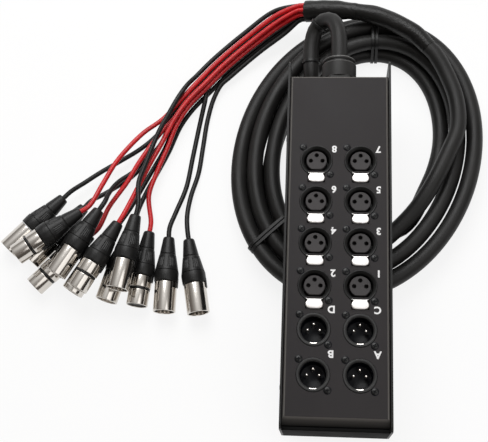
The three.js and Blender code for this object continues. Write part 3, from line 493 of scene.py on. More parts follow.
# %% Tail places
TAIL = 4.2
LANE_PITCH = 4.7
PACKED_ROWS = (-1.1547, -0.2887, 0.5774, 1.4434)
BOOT_LENGTH, SHELL_LENGTH, SEAT_GAP = 39.5, 25.2, 0.3
BUNDLE_ROUTE = [
    (-53, 367, 18.8), (-79, 349, 12.5), (-105.7, 325.1, 9.3), (-119.5, 309.2, 9.3),
    (-135.3, 290.7, 9.3), (-145.5, 274, 9.3)]
TAILS = {
    "send_1": ((1, -1.5), (0.85, -1.2), 6, (-282.5, 151.5, 10.3), -133, [
        (-161, 260, 6.2), (-174, 247.5, 6.4), (-190.5, 235.7, 7.4), (-208, 223.5, 9.2),
        (-221, 213.5, 10.1)]),
    "send_2": ((0, -1), (0, -0.7), 6, (-262, 142, 10.3), -131.5, [
        (-158.5, 251, 2.4), (-171, 233.5, 2.4), (-184, 219.5, 2.8), (-195, 210.5, 5.5),
        (-204, 203, 8.8)]),
    "send_3": ((1, -0.5), (1, -0.2), 6, (-233.5, 126, 29.6), -120, [
        (-157.5, 249.5, 7.4), (-169.5, 235.5, 7.6), (-179.5, 224, 8.6), (-190, 213.5, 13.5),
        (-195.5, 200.5, 22)]),
    "send_4": ((0, 0), (0, 0.3), 6, (-223, 115, 10.3), -120.5, [
        (-154.5, 246, 2.4), (-163.5, 227, 3), (-171, 209, 6), (-179, 190, 9.4)]),
    "send_5": ((0, 1), (0, 1.3), 6, (-193, 108, 10.3), -105.5, [
        (-149.5, 246, 2.4), (-158.5, 225.5, 3), (-166, 207, 6), (-171.5, 189, 9.4)]),
    "send_6": ((2, -1), (2.1, -2.2), 4, (-180, 114, 29.2), -99.5, [
        (-134.3, 304.5, 17.6), (-141.5, 290.2, 20.8), (-148.8, 274.1, 21.4), (-155.2, 260, 21.6),
        (-160.6, 244, 22), (-165.6, 226, 23.4), (-169.6, 209, 26)]),
    "send_7": ((1, 0.5), (1, 0.8), 4, (-143, 99.5, 10.3), -90, [
        (-119, 293.5, 6.4), (-123.4, 270, 2.9), (-127.8, 240, 2.3), (-131.6, 212, 4),
        (-138.5, 188, 8.6)]),
    "send_8": ((1, 1.5), (1, 2.4), 3, (-114, 99, 10.3), -79.5, [
        (-105.2, 310, 6.2), (-111.8, 296, 4.4), (-116.4, 276, 2.4), (-119, 251.3, 2.2),
        (-121.8, 225.7, 2.4), (-127, 203.7, 4.6), (-128.6, 184, 9)]),
    "return_a": ((3, -0.5), (3, -0.8), 4, (-268, 141, 31.2), -143, [
        (-138.3, 292.9, 15.2), (-154.5, 274, 12.6), (-171, 260, 13.6), (-184, 243, 17),
        (-192.5, 227.6, 21.4), (-201, 205, 27.6)]),
    "return_b": ((2, 0), (2, 0), 6, (-256, 119, 10.3), -134, [
        (-158, 257.5, 12.4), (-166.5, 243.3, 13.6), (-174.5, 229, 14), (-181.8, 214.5, 13.2),
        (-190.5, 201.5, 11.8), (-197.5, 190.5, 10.8)]),
    "return_c": ((3, 0.5), (3, 0.5), 6, (-214, 113.5, 30.2), -118, [
        (-154, 249, 15.6), (-162.5, 230, 16.6), (-170.5, 207, 21)]),
    "return_d": ((2, 1), (2, 1), 5, (-166.6, 104.5, 10.3), -95.6, [
        (-142.5, 268, 11.4), (-149.5, 247, 10.4), (-157.5, 224, 10), (-163, 202, 10.4)]),
}
print("tails:", len(TAILS))

# %% [markdown]
# ## The way of one tail
#
# A tail's line starts inside the sleeve, square to its end, so that no gap shows there.
# Its lane in the bundle is an offset sideways and upward from the bundle's middle. It ends
# inside the boot of its plug, on the plug's own axis. The plug lies level, so its frame
# needs only the place of its nose and its heading.

# %% Route of a tail
def plug_frame(nose, heading):
    """A frame at the top of the boot: Z runs to the nose of the plug, and Y is up."""
    along = Vector((math.cos(math.radians(heading)), math.sin(math.radians(heading)), 0))
    up = Vector((0, 0, 1))
    turn = Matrix((up.cross(along), up, along)).transposed().to_4x4()
    length = (BOOT_LENGTH + SEAT_GAP + SHELL_LENGTH) * MM
    return Matrix.Translation(place(*nose) - along * length) @ turn


def level_side(ahead, behind):
    """The level direction square to a line that runs from behind to ahead."""
    along = ahead - behind
    return Vector((-along.y, along.x, 0)).normalized()


def tail_route(packed, loose, stations, nose, heading, way):
    """The points of one tail from inside the sleeve to inside its boot."""
    sleeve_end, before_end = place(*SLEEVE_ROUTE[-1]), place(*SLEEVE_ROUTE[-2])
    out = (sleeve_end - before_end).normalized()
    side = level_side(sleeve_end, before_end)
    pitch = LANE_PITCH * MM
    leave = sleeve_end + SEAT_GAP * MM * out
    leave += pitch * (packed[1] * side + PACKED_ROWS[packed[0]] * out.cross(side))
    bundle = [sleeve_end, *(place(*p) for p in BUNDLE_ROUTE)]
    kept = [
        bundle[i] + pitch * loose[1] * level_side(bundle[min(i + 1, len(bundle) - 1)], bundle[i - 1])
        + Vector((0, 0, (loose[0] - 1.5) * pitch))
        for i in range(1, stations + 1)]
    frame_of_plug = plug_frame(nose, heading)
    step = TAIL * MM
    return [
        leave - 2 * step * out, leave, leave + step * out, *kept, *(place(*p) for p in way),
        frame_of_plug @ Vector((0, 0, -2 * step)), frame_of_plug @ Vector((0, 0, 0.5 * step))]


print("points of the first tail:", len(tail_route(*TAILS["send_1"])))

# %% [markdown]
# ## The tails themselves
#
# The black tails are the sends and the red ones the returns, so that the two kinds are
# told apart at a glance. Each one replaces its plain solid.

# %% Tails
tail_lines = {name: flowing(tail_route(*told), 4 * MM) for name, told in TAILS.items()}
for name, line in tail_lines.items():
    jacket = black_jacket if name.startswith("send") else red_jacket
    swept(name + "_cord", line, [TAIL / 2 * MM] * len(line), jacket, 14)
    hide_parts(name + "_tail")
    print(name, "tail:", round(line_length(line), 3), "m")

# %% [markdown]
# ## The sleeve
#
# Heat-shrink tubing covers the place where the trunk splits. It shrinks onto what is
# inside, so it is a tube whose radius changes along its line: full where it holds the
# tails, drawn in at the joint, and snug on the trunk. It was put on in two lengths, and
# the end of the second one shows as a small lip. A few shallow waves along it are the
# wrinkles that the heat leaves.

# %% Heat-shrink sleeve
SLEEVE_JOINT = 0.6
RIGHT_LENGTH = ((0, 7.15), (0.02, 7.25), (0.3, 8.0), (0.72, 8.2), (0.92, 7.1), (1, 6.7))
LEFT_LENGTH = ((0, 7.3), (0.03, 7.45), (0.1, 7.2), (0.4, 8.6), (0.75, 9.2), (0.92, 9.55), (1, 9.5))
WRINKLES = ((0.09, 5, 9), (0.07, 3, -23))


def radii_along(line, stops):
    """The radius at each point of a line, eased between stops of (share, millimetres)."""
    radii = []
    for i in range(len(line)):
        share = i / (len(line) - 1)
        for (a, low), (b, high) in zip(stops, stops[1:]):
            if share <= b:
                radii.append((low + (high - low) * smooth((share - a) / (b - a))) * MM)
                break
    return radii


def shrink_wrinkle(angle, share):
    """Shallow waves, each told as (depth, waves round the sleeve, how far it winds along it)."""
    return sum(depth * MM * math.sin(waves * angle + wind * share) for depth, waves, wind in WRINKLES)


sleeve_line = flowing([place(*p) for p in SLEEVE_ROUTE], 2 * MM)
cut = round(SLEEVE_JOINT * (len(sleeve_line) - 1))
sleeve_lengths = {
    "sleeve_right": (sleeve_line[:cut + 3], RIGHT_LENGTH),
    "sleeve_left": (sleeve_line[cut:], LEFT_LENGTH),
}
for name, (line, stops) in sleeve_lengths.items():
    swept(name, line, radii_along(line, stops), shrink, 40, None, shrink_wrinkle)
    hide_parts("fanout_sleeve")
print("sleeve:", round(line_length(sleeve_line), 3), "m")

# %% [markdown]
# ## Where a cable tie lies
#
# Nylon ties hold the coil together. A tie pulled tight takes the shortest way round what
# it holds: straight from one cable to the next, and curved over the outer ones. That is
# the hull of the circles where its plane cuts the coil. For each direction, the farthest
# circle gives one point of the hull, so no geometry library is needed.

# %% Loop of a tie
TIE_WIDTH, TIE_THICK, TIE_GAP = 2.6, 1.0, 0.15
TIE_CORNERS = 96
coil_line = flowing(coil_route, 4 * MM)


def tie_loop(inner, outer, shift):
    """The tight loop round the coil in the upright plane through two places."""
    start, end = place(*inner), place(*outer)
    away = (end - start).normalized()
    square = Vector((-away.y, away.x, 0))
    middle = (start + end) / 2
    circles = []
    for p, q in zip(coil_line, coil_line[1:]):
        before, after = (p - start).dot(square), (q - start).dot(square)
        hit = p.lerp(q, before / (before - after)) if before * after < 0 else None
        if hit and (hit - middle).length < (end - start).length:
            circles.append(Vector(((hit - start).dot(away), hit.z)))
    loop = []
    for k in range(TIE_CORNERS):
        angle = 2 * math.pi * k / TIE_CORNERS
        facing = Vector((math.cos(angle), math.sin(angle)))
        far = max(circles, key=lambda circle: circle.dot(facing)) + (TRUNK / 2 + TIE_GAP) * MM * facing
        loop.append(start + away * far.x + square * shift * MM)
        loop[-1].z = max(far.y, floor_height + TIE_THICK * MM)
    return loop, square


print("the coil's line has", len(coil_line), "points to cut")

# %% [markdown]
# ## Ties round the coil
#
# The band is a flat section with eased edges, carried round its loop. The ties sit in
# pairs, close beside each other, where the coil was gathered up by hand.

# %% Ties round the coil
COIL_TIES = {
    "coil_tie_gland_near": ((31.5, 315, 0), (31.5, 360, 0), -1.7),
    "coil_tie_gland_far": ((31.5, 315, 0), (31.5, 360, 0), 1.7),
    "coil_tie_low_near": ((-44, 178.3, 0), (-82, 142.4, 0), -1.6),
    "coil_tie_low_far": ((-44, 178.3, 0), (-82, 142.4, 0), 1.6),
}


def strap(name, loop, square):
    """A flat band with eased edges that follows a closed loop."""
    mesh = bmesh.new()
    centre = sum(loop, Vector()) / len(loop)
    half, ease = TIE_WIDTH / 2, 0.25
    section = (
        (-half, 0), (-half, TIE_THICK - ease), (ease - half, TIE_THICK),
        (half - ease, TIE_THICK), (half, TIE_THICK - ease), (half, 0))
    rings = []
    for i, point in enumerate(loop):
        along = (loop[(i + 1) % len(loop)] - loop[i - 1]).normalized()
        out = along.cross(square)
        out = out if out.dot(point - centre) > 0 else -out
        rings.append([mesh.verts.new(point + MM * (a * square + b * out)) for a, b in section])
    for near, far in zip(rings, rings[1:] + rings[:1]):
        for k in range(len(section)):
            mesh.faces.new((near[k], near[k - 1], far[k - 1], far[k]))
    return set_out(name, mesh_data(name, mesh, nylon_tie, 30))


ties = [strap(name, *tie_loop(*told)) for name, told in COIL_TIES.items()]
print("ties round the coil:", len(ties))

# %% [markdown]
# ## Ties round the trunk's turn
#
# Two more ties hold the trunk where it bends under the case. Each goes round one cable
# only, so its loop is a plain circle, square to the trunk's line at the nearest point.

# %% Ties round the trunk's turn
TURN_TIES = {"turn_tie_upper": (-16.6, 350.5, 43), "turn_tie_lower": (-23.8, 320, 34.5)}
TURN_POINTS, LOOP_CORNERS, TURN_TIE_GAP = 200, 40, 0.1
for name, near in TURN_TIES.items():
    spot = min(range(1, TURN_POINTS), key=lambda i: (trunk_line[i] - place(*near)).length)
    along = (trunk_line[spot + 1] - trunk_line[spot - 1]).normalized()
    side = along.orthogonal().normalized()
    reach = (TRUNK / 2 + TURN_TIE_GAP) * MM
    loop = [
        trunk_line[spot] + reach * (math.cos(a) * side + math.sin(a) * along.cross(side))
        for a in (2 * math.pi * k / LOOP_CORNERS for k in range(LOOP_CORNERS))]
    ties.append(strap(name, loop, along))
print("ties:", len(ties))

# %% [markdown]
# ## Rounded outlines
#
# A real edge is never knife sharp. This helper turns each corner of an outline into a
# short curve, and it serves profiles of turned pieces and outlines of plates alike. The
# curve is a parabola through the corner's two sides, which needs no angle or centre. Its
# neighbour here gives the corners of a circle.

# %% Rounded outlines and circles
def rounded(corners, radius, steps=4, closed=False):
    """The outline with each of its corners turned into a short curve."""
    points = [Vector(corner) for corner in corners]
    line = []
    for i, here in enumerate(points):
        if not closed and i in (0, len(points) - 1):
            line.append(here)
            continue
        before, after = points[i - 1] - here, points[(i + 1) % len(points)] - here
        reach = min(radius, before.length / 2, after.length / 2)
        start, end = here + before.normalized() * reach, here + after.normalized() * reach
        for step in range(steps + 1):
            t = step / steps
            line.append((1 - t) ** 2 * start + 2 * t * (1 - t) * here + t * t * end)
    return line


def circle(radius, steps):
    """The corners of a circle, anticlockwise."""
    angles = (2 * math.pi * k / steps for k in range(steps))
    return [Vector((radius * math.cos(angle), radius * math.sin(angle))) for angle in angles]


print("a rounded square has", len(rounded([(0, 0), (1, 0), (1, 1), (0, 1)], 0.2, closed=True)), "corners")

# %% [markdown]
# ## Turned forms
#
# Plugs, sockets and the gland's nut are turned forms: a profile of radius and height,
# carried round an axis. A point on the axis becomes one corner and not a ring, so that no
# face there is folded flat. A wave lets the radius dip with angle and height. The second
# helper goes straight from a profile to mesh data, and the third carries a section
# through a short arc only.

# %% Turned forms
TURN_SIDES = 64


def turn(mesh, profile, sides=TURN_SIDES, wave=None, closed=False, shift=(0, 0)):
    """Adds the surface that a profile of (radius, height) in millimetres makes round Z."""
    rings = []
    for radius, height in profile:
        if radius < 0.01:
            rings.append([mesh.verts.new(Vector((*shift, height)) * MM)] * sides)
            continue
        ring = []
        for k in range(sides):
            angle = 2 * math.pi * k / sides
            out = radius - (wave(angle, height) if wave else 0)
            corner = Vector((shift[0] + out * math.cos(angle), shift[1] + out * math.sin(angle), height))
            ring.append(mesh.verts.new(corner * MM))
        rings.append(ring)
    if closed:
        rings.append(rings[0])
    for near, far in zip(rings, rings[1:]):
        for k in range(sides):
            corners = (near[k], near[(k + 1) % sides], far[(k + 1) % sides], far[k])
            distinct = list(dict.fromkeys(corners))
            if len(distinct) > 2:
                mesh.faces.new(distinct)


def turned(name, profile, material, sides=TURN_SIDES, crease=40, **told):
    """Mesh data of one turned form."""
    mesh = bmesh.new()
    turn(mesh, profile, sides, **told)
    return mesh_data(name, mesh, material, crease)


def arc(name, section, middle, half, material, crease):
    """Mesh data of a section of (radius, height) that is carried through a short arc."""
    mesh = bmesh.new()
    steps = 12
    angles = [middle + half * (2 * k / steps - 1) for k in range(steps + 1)]
    rings = [
        [mesh.verts.new(Vector((reach * math.cos(a), reach * math.sin(a), height)) * MM) for a in angles]
        for reach, height in section]
    for near, far in zip(rings, rings[1:] + rings[:1]):
        for k in range(steps):
            mesh.faces.new((near[k], near[k + 1], far[k + 1], far[k]))
    for k in (0, steps):
        mesh.faces.new([ring[k] for ring in rings])
    return mesh_data(name, mesh, material, crease)


print("a turned form has", TURN_SIDES, "sides unless told otherwise")

# %% [markdown]
# ## Plates
#
# Tabs, inserts and screw heads are plates: an outline repeated at several heights, drawn
# in a little at the top so that the edge catches light. A negative inset flares it. A
# plate is closed at both ends. Holes go into the top only, each with a small bevel, and
# the face between the outline and the holes is filled with triangles.

# %% Plates
HOLE_SIDES, HOLE_BEVEL = 24, 0.2


def drawn_in(outline, inset):
    """The anticlockwise outline moved inward, corner by corner."""
    moved = []
    for i, here in enumerate(outline):
        before, after = outline[i - 1], outline[(i + 1) % len(outline)]
        along = ((here - before).normalized() + (after - here).normalized()).normalized()
        moved.append(here + inset * Vector((-along.y, along.x)))
    return moved


def stack(mesh, outline, levels, holes=()):
    """Adds a plate from (inset, height) levels, with holes told as (x, y, radius, depth)."""
    def loop_at(points, height):
        return [mesh.verts.new(Vector((p[0], p[1], height)) * MM) for p in points]

    def wall(upper, lower):
        for i in range(len(upper)):
            mesh.faces.new((upper[i - 1], upper[i], lower[i], lower[i - 1]))

    loops = [loop_at(drawn_in(outline, inset), height) for inset, height in levels]
    for lower, upper in zip(loops, loops[1:]):
        wall(upper, lower)
    mesh.faces.new(loops[0])
    top = levels[-1][1]
    rims = [loops[-1]]
    for x, y, radius, depth in holes:
        levels_of_hole = ((radius + HOLE_BEVEL, top), (radius, top - 0.25), (radius, top - depth))
        hole = [
            loop_at([(x + p.x, y + p.y) for p in circle(r, HOLE_SIDES)], height)
            for r, height in levels_of_hole]
        wall(hole[0], hole[1])
        wall(hole[1], hole[2])
        mesh.faces.new(hole[2])
        rims.append(hole[0])
    edges = [mesh.edges.get((rim[i - 1], rim[i])) for rim in rims for i in range(len(rim))]
    bmesh.ops.triangle_fill(mesh, use_beauty=True, edges=edges)


def plate(name, outline, levels, material, crease=40, holes=()):
    """Mesh data of one plate."""
    mesh = bmesh.new()
    stack(mesh, outline, levels, holes)
    return mesh_data(name, mesh, material, crease)


print("a hole has", HOLE_SIDES, "sides")

# %% [markdown]
# ## Boots
#
# The rubber boot keeps the tail from kinking where it enters the plug. It swells from a
# rounded top to a collar, with two moulded lines across it. Between them, on the upper
# and lower faces, short ribs run lengthwise for grip. The ribs are grooves of the form
# itself: the radius dips where the angle and the height are both inside a groove. The
# profile gets more points along the ribs, so that the dips have corners to bend at.

# %% Boot
RIB_ANGLES = (17, 27, 37, 47)
RIB_WIDTH = 5.5
RIB_FROM, RIB_TO, RIB_DEPTH = 18.2, 27.2, 0.45
RIB_EDGE, RIB_RUN = 1.2, 0.8
BOOT_SIDES = 144
BOOT_PROFILE = [
    (0, 0.1), (3.4, 0), (4.3, 0.25), (4.75, 1.0), (5.0, 2.2), (5.4, 5), (6.15, 10), (6.8, 14.6),
    (6.85, 15.0), (6.5, 15.3), (6.5, 15.6), (7.1, 15.9), (7.3, 16.4), (7.8, 19), (8.4, 22), (9.0, 25),
    (9.55, 28), (9.85, 29.2), (9.9, 29.5), (9.5, 29.75), (9.5, 30.0), (10.1, 30.3), (10.3, 31.2),
    (10.3, 35), (10.1, 38), (10.0, 39), (9.7, 39.4), (9.3, 39.5), (0, 39.5)]


def rib_depth(angle, height):
    """How deep the boot's surface dips at an angle and a height."""
    from_face = abs(math.remainder(math.degrees(angle) - 90, 180))
    nearest = min(abs(from_face - rib) for rib in RIB_ANGLES)
    groove = smooth((RIB_WIDTH / 2 - nearest) / RIB_EDGE + 0.5)
    inside = smooth((height - RIB_FROM) / RIB_RUN) * smooth((RIB_TO - height) / RIB_RUN)
    return RIB_DEPTH * groove * inside


fine_profile = []
for (r0, h0), (r1, h1) in zip(BOOT_PROFILE, BOOT_PROFILE[1:]):
    steps = max(1, round((h1 - h0) / RIB_RUN)) if h0 < RIB_TO + 2 and h1 > RIB_FROM - 2 else 1
    fine_profile += [(r0 + (r1 - r0) * k / steps, h0 + (h1 - h0) * k / steps) for k in range(steps)]
fine_profile.append(BOOT_PROFILE[-1])
boot_data = turned("boot", fine_profile, boot_rubber, BOOT_SIDES, 50, wave=rib_depth)
print("boot corners:", len(boot_data.vertices))

# %% [markdown]
# ## The boot's tongue, and the boots set out
#
# A small tongue on one side of the boot reaches over the shell and keeps the two from
# turning. It is a short arc of a thin section. Boot and tongue are made once and shared
# by the twelve plugs. What belongs to a plug is kept in a list.

# %% Boot tongue and boots
TONGUE_HALF = math.radians(17)
TONGUE_SECTION = ((9.6, 36), (9.6, 43.2), (9.9, 44.2), (10.35, 43.6), (10.45, 36))
tongue_data = arc("boot_tongue", TONGUE_SECTION, 0, TONGUE_HALF, boot_rubber, 50)
plug_frames = {name: plug_frame(told[3], told[4]) for name, told in TAILS.items()}
plug_pieces = {name: [] for name in TAILS}
for name, where in plug_frames.items():
    boot = set_out(name + "_boot_dressed", boot_data, where)
    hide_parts(name + ("_tail" if name.startswith("send") else "_boot"))
    tongue = set_out(name + "_boot_tongue", tongue_data, where)
    plug_pieces[name] += [boot, tongue]
print("boots:", len(plug_frames))

# %% [markdown]
# ## Plug shells
#
# A send plug has one open nickel barrel. A return plug has a wide ring, a black groove
# and a slimmer nose. Both barrels are turned from one profile each. The rolled rim is
# what draws the bright thin ellipse round each mouth, so it gets its own small curve.

# %% Shells
SHELL_SIDES = 96
SEND_BARREL = [
    (8.9, 0), (9.5, 0.3), (9.5, 24.9), (9.2, 25.2), (8.45, 25.2), (8.2, 24.8), (8.2, 12.7)]
RETURN_BARREL = [
    (8.9, 0), (9.5, 0.3), (9.5, 9.7), (9.3, 10), (8.5, 10), (8.5, 12.2), (8.9, 12.2), (9.1, 12.5),
    (9.1, 24.9), (8.8, 25.2), (8.3, 25.2), (8.05, 24.9), (8.05, 20)]
GROOVE = [(8.6, 10.1), (8.95, 10.3), (8.95, 11.9), (8.6, 12.1)]


def barrel_data(name, barrel, ease):
    """Mesh data of a barrel with a closed back and an open mouth."""
    floor_of_mouth = (0, barrel[-1][1])
    profile = [(0, 0), (8.9, 0), *rounded(barrel, ease), floor_of_mouth]
    return turned(name, profile, nickel, SHELL_SIDES, 60)


send_shell_data = barrel_data("send_shell", SEND_BARREL, 0.3)
return_shell_data = barrel_data("return_shell", RETURN_BARREL, 0.25)
groove_data = turned(
    "return_shell_groove", rounded(GROOVE, 0.2, closed=True), moulded, SHELL_SIDES, closed=True)
print("shell corners:", len(send_shell_data.vertices), "and", len(return_shell_data.vertices))

# %% [markdown]
# ## Pins and inserts
#
# A send plug holds three pins on a black seat. A return plug holds a keyed insert with
# three holes: a disc with one side cut flat. It is cut flat on the latch's side as well,
# which leaves the latch room to be pressed. The three places lie on one circle, and the
# sockets in the deck use the same ones.

# %% Pins and insert
PIN_CIRCLE = 4.6
PIN_PLACES = [(PIN_CIRCLE * math.cos(a), PIN_CIRCLE * math.sin(a)) for a in (0, math.pi / 2, math.pi)]
PLUG_PIN = [(0, 22.7), (0.6, 22.55), (1.05, 22.1), (1.25, 21.4), (1.25, 12.6), (0, 12.6)]
PIN_SEAT = [(0, 13.4), (7.6, 13.4), (8.1, 12.9), (8.1, 12.6), (0, 12.6)]
LATCH_TURN, LATCH_ROOM = -1.9, 6.4


def three_pins(name, profile):
    """Mesh data of three like pins."""
    mesh = bmesh.new()
    for spot in PIN_PLACES:
        turn(mesh, profile, 20, shift=spot)
    return mesh_data(name, mesh, contact_metal, 60)


def keyed_disc(radius, flat):
    """An anticlockwise disc outline with its lower side cut flat."""
    return [Vector((p.x, max(p.y, -flat))) for p in circle(radius, 64)]


pins_data = three_pins("plug_pins", PLUG_PIN)
seat_data = turned("plug_pin_seat", PIN_SEAT, moulded)
latch_side = Vector((math.cos(LATCH_TURN), math.sin(LATCH_TURN)))
nose_outline = [p - max(0, p.dot(latch_side) - LATCH_ROOM) * latch_side for p in keyed_disc(7.9, 7.2)]
nose_data = plate(
    "plug_nose_insert", nose_outline, [(0, 18), (0, 23.5), (0.3, 23.8)], insert_grey, 35,
    [(*spot, 1.5, 5) for spot in PIN_PLACES])
print("nose insert corners:", len(nose_data.vertices))

# %% [markdown]
# ## Plugs put together
#
# Boot and shell are two pieces on a real plug, and the thin dark gap between them shows.
# Every plug is the same set of pieces at another place, so one loop puts them all
# together. The barrel replaces the plain solid of the shell.

# %% Plugs put together
shell_gap = Matrix.Translation(Vector((0, 0, BOOT_LENGTH + SEAT_GAP)) * MM)
INSIDE = {
    "send": {"pins": pins_data, "pin_seat": seat_data},
    "return": {"insert": nose_data, "groove": groove_data},
}
for name, where in plug_frames.items():
    on_shell = where @ shell_gap
    kind = name.split("_")[0]
    barrel = set_out(name + "_barrel", send_shell_data if kind == "send" else return_shell_data, on_shell)
    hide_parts(name + "_shell")
    inside = [set_out(f"{name}_{what}", data, on_shell) for what, data in INSIDE[kind].items()]
    plug_pieces[name] += [barrel, *inside]
print("plugs:", len(plug_pieces))

# %% [markdown]
# ## The latches
#
# Each return plug has a sprung catch in the side of its nose. It has a joint of its own,
# so the piece rides on the latch's body and not on the case. The measured solid gives its
# place, and a bevel on its edges is all that it needs.

# %% Latches keep their solid, with eased edges
def ease_edges(node, width, segments=2):
    """Adds a bevel to a solid that stays, so that its edges catch light."""
    bevel = frame["nodes"][node].modifiers.new("eased", "BEVEL")
    bevel.width, bevel.segments, bevel.limit_method = width * MM, segments, "ANGLE"
    bevel.angle_limit = math.radians(40)
    bevel.harden_normals = True


def dress(node, material):
    """Gives a solid that stays its finish."""
    frame["nodes"][node].data.materials.clear()
    frame["nodes"][node].data.materials.append(material)


latches = [f"return_{letter}_latch" for letter in "abcd"]
for latch in latches:
    dress(latch, nickel)
    ease_edges(latch, 0.35)
    plug_pieces[latch.removesuffix("_latch")].append(frame["nodes"][latch])
print("latches:", len(latches))

# %% [markdown]
# ## Thinning a cord's line
#
# A helper keeps every so many points of a line, with its last one. The trunk's far end is
# the fitting where it splits. Each tail leaves the sleeve and ends in its plug.

# %% Cords
def thinned(line, step):
    """Every so many points of a line, with its last one."""
    return [*line[:-1:step], line[-1]]


print("tail points:", [len(thinned(line, 3)) for line in tail_lines.values()])

# %% [markdown]
# ## Cutting one mesh out of another
#
# Some shapes are hard to build by hand and easy to cut: a pocket through a ring, or the
# cross in a screw head. A boolean modifier does the cut. Its result is read back as plain
# mesh data at once, so the two helper objects can go and many pieces can share the
# result.

# %% Cutting one mesh out of another
def as_mesh(thing):
    """The mesh data of an object with its modifiers done."""
    return bpy.data.meshes.new_from_object(thing.evaluated_get(bpy.context.evaluated_depsgraph_get()))


def carved(name, body, cutter, material):
    """The first mesh with the second cut out of it, ready to share."""
    whole = bpy.data.objects.new(name + "_body", body)
    blade = bpy.data.objects.new(name + "_cutter", cutter)
    for helper in (whole, blade):
        bpy.context.scene.collection.objects.link(helper)
    cut = whole.modifiers.new("cut", "BOOLEAN")
    cut.object, cut.solver = blade, "EXACT"
    result = as_mesh(whole)
    for helper in (whole, blade):
        bpy.data.objects.remove(helper)
    mesh = bmesh.new()
    mesh.from_mesh(result)
    bmesh.ops.remove_doubles(mesh, verts=mesh.verts, dist=1e-7)
    return mesh_data(name, mesh, material, 35)


# %% [markdown]
# ## Send sockets
#
# The sockets are mounted from behind and look out through round holes in the deck. A send
# socket shows a funnel-shaped ring, a wide dark gap, and an insert with three holes. Its
# lower side opens into the pocket of the push tab, whose frame is a thin painted plate
# that flares onto the deck. One pocket is cut out of the ring and out of the plate, and
# the eight sockets share the results.

# %% Send ring, tab frame and insert
RING_RADIUS, RING_PROUD, BORE_RADIUS, BORE_DEPTH = 12.6, 0.8, 9.6, 15
BORE_FLOOR, RING_BACK = RING_PROUD - BORE_DEPTH, -16
HOUSING_HALF, HOUSING_LOW, HOUSING_TOP = 7.65, -18.8, -9.2
POCKET_HALF, POCKET_LOW, POCKET_TOP, POCKET_DEPTH = 6.95, -18.1, -9.85, 2.7
SEND_RING = [
    (RING_RADIUS, -4), (RING_RADIUS, 0.5), (12.35, RING_PROUD), (11.9, RING_PROUD), (10.2, -0.5),
    (BORE_RADIUS, -1.1), (BORE_RADIUS, BORE_FLOOR), (0, BORE_FLOOR), (0, RING_BACK),
    (RING_RADIUS, RING_BACK)]
HOUSING_LEVELS = [(0, -4), (0, 0.012), (-0.55, 0.014), (-0.55, 0.03), (-0.4, 0.06)]
INSERT_LEVELS = [(0, -14.1), (0, -0.35), (0.35, 0)]


def box_outline(half, low, top, radius, steps):
    """A rounded rectangle about the middle line."""
    return rounded([(-half, low), (half, low), (half, top), (-half, top)], radius, steps, True)


ring_profile = rounded(SEND_RING, 0.25, 3) + [Vector((RING_RADIUS, -4))]
ring_whole = turned("ring_whole", ring_profile, moulded, 96)
housing_outline = box_outline(HOUSING_HALF, HOUSING_LOW, HOUSING_TOP, 1.2, 4)
housing_whole = plate("housing_whole", housing_outline, HOUSING_LEVELS, deck_paint_painted_light)
pocket_outline = box_outline(POCKET_HALF, POCKET_LOW, POCKET_TOP, 0.8, 3)
pocket_data = plate("pocket_cutter", pocket_outline, [(0, -POCKET_DEPTH), (0, 3)], moulded)
ring_data = carved("send_ring", ring_whole, pocket_data, moulded)
housing_data = carved("tab_housing", housing_whole, pocket_data, deck_paint_painted_light)
insert_data = plate(
    "send_insert", keyed_disc(8, 7.2), INSERT_LEVELS, insert_grey, 35,
    [(*spot, 1.6, 6) for spot in PIN_PLACES])
print("ring corners:", len(ring_data.vertices))

# %% [markdown]
# ## Push tabs
#
# The bright tab releases a plug that is locked in the socket. It is a small cast piece: a
# broad body with a rounded toe and a waist, and a raised bar across its top whose ends
# curl up into two short horns. The body's top is crowned by a few levels of the same
# outline, each drawn in more.

# %% Push tab
TAB_BODY = [
    (-3.4, -17.9), (3.4, -17.9), (5.7, -17.1), (6.65, -15.4), (6.6, -13.5), (5.8, -12.2), (5.3, -11.4),
    (-5.3, -11.4), (-5.8, -12.2), (-6.6, -13.5), (-6.65, -15.4), (-5.7, -17.1)]
TAB_BAR = [
    (-5.1, -11.55), (5.1, -11.55), (5.3, -10.9), (6.5, -9.9), (4.6, -10.4),
    (-4.6, -10.4), (-6.5, -9.9), (-5.3, -10.9)]
BODY_CROWN = [(0, -1.2), (0, 0.75), (0.12, 1.0), (0.4, 1.2), (0.8, 1.3)]
BAR_CROWN = [(0, -1.2), (0, 0.55), (0.1, 0.7), (0.25, 0.78)]
tab_mesh = bmesh.new()
stack(tab_mesh, rounded(TAB_BODY, 1.2, 4, True), BODY_CROWN)
stack(tab_mesh, rounded(TAB_BAR, 0.3, 3, True), BAR_CROWN)
tab_data = mesh_data("push_tab", tab_mesh, bright_tab, 50)
print("tab corners:", len(tab_data.vertices))
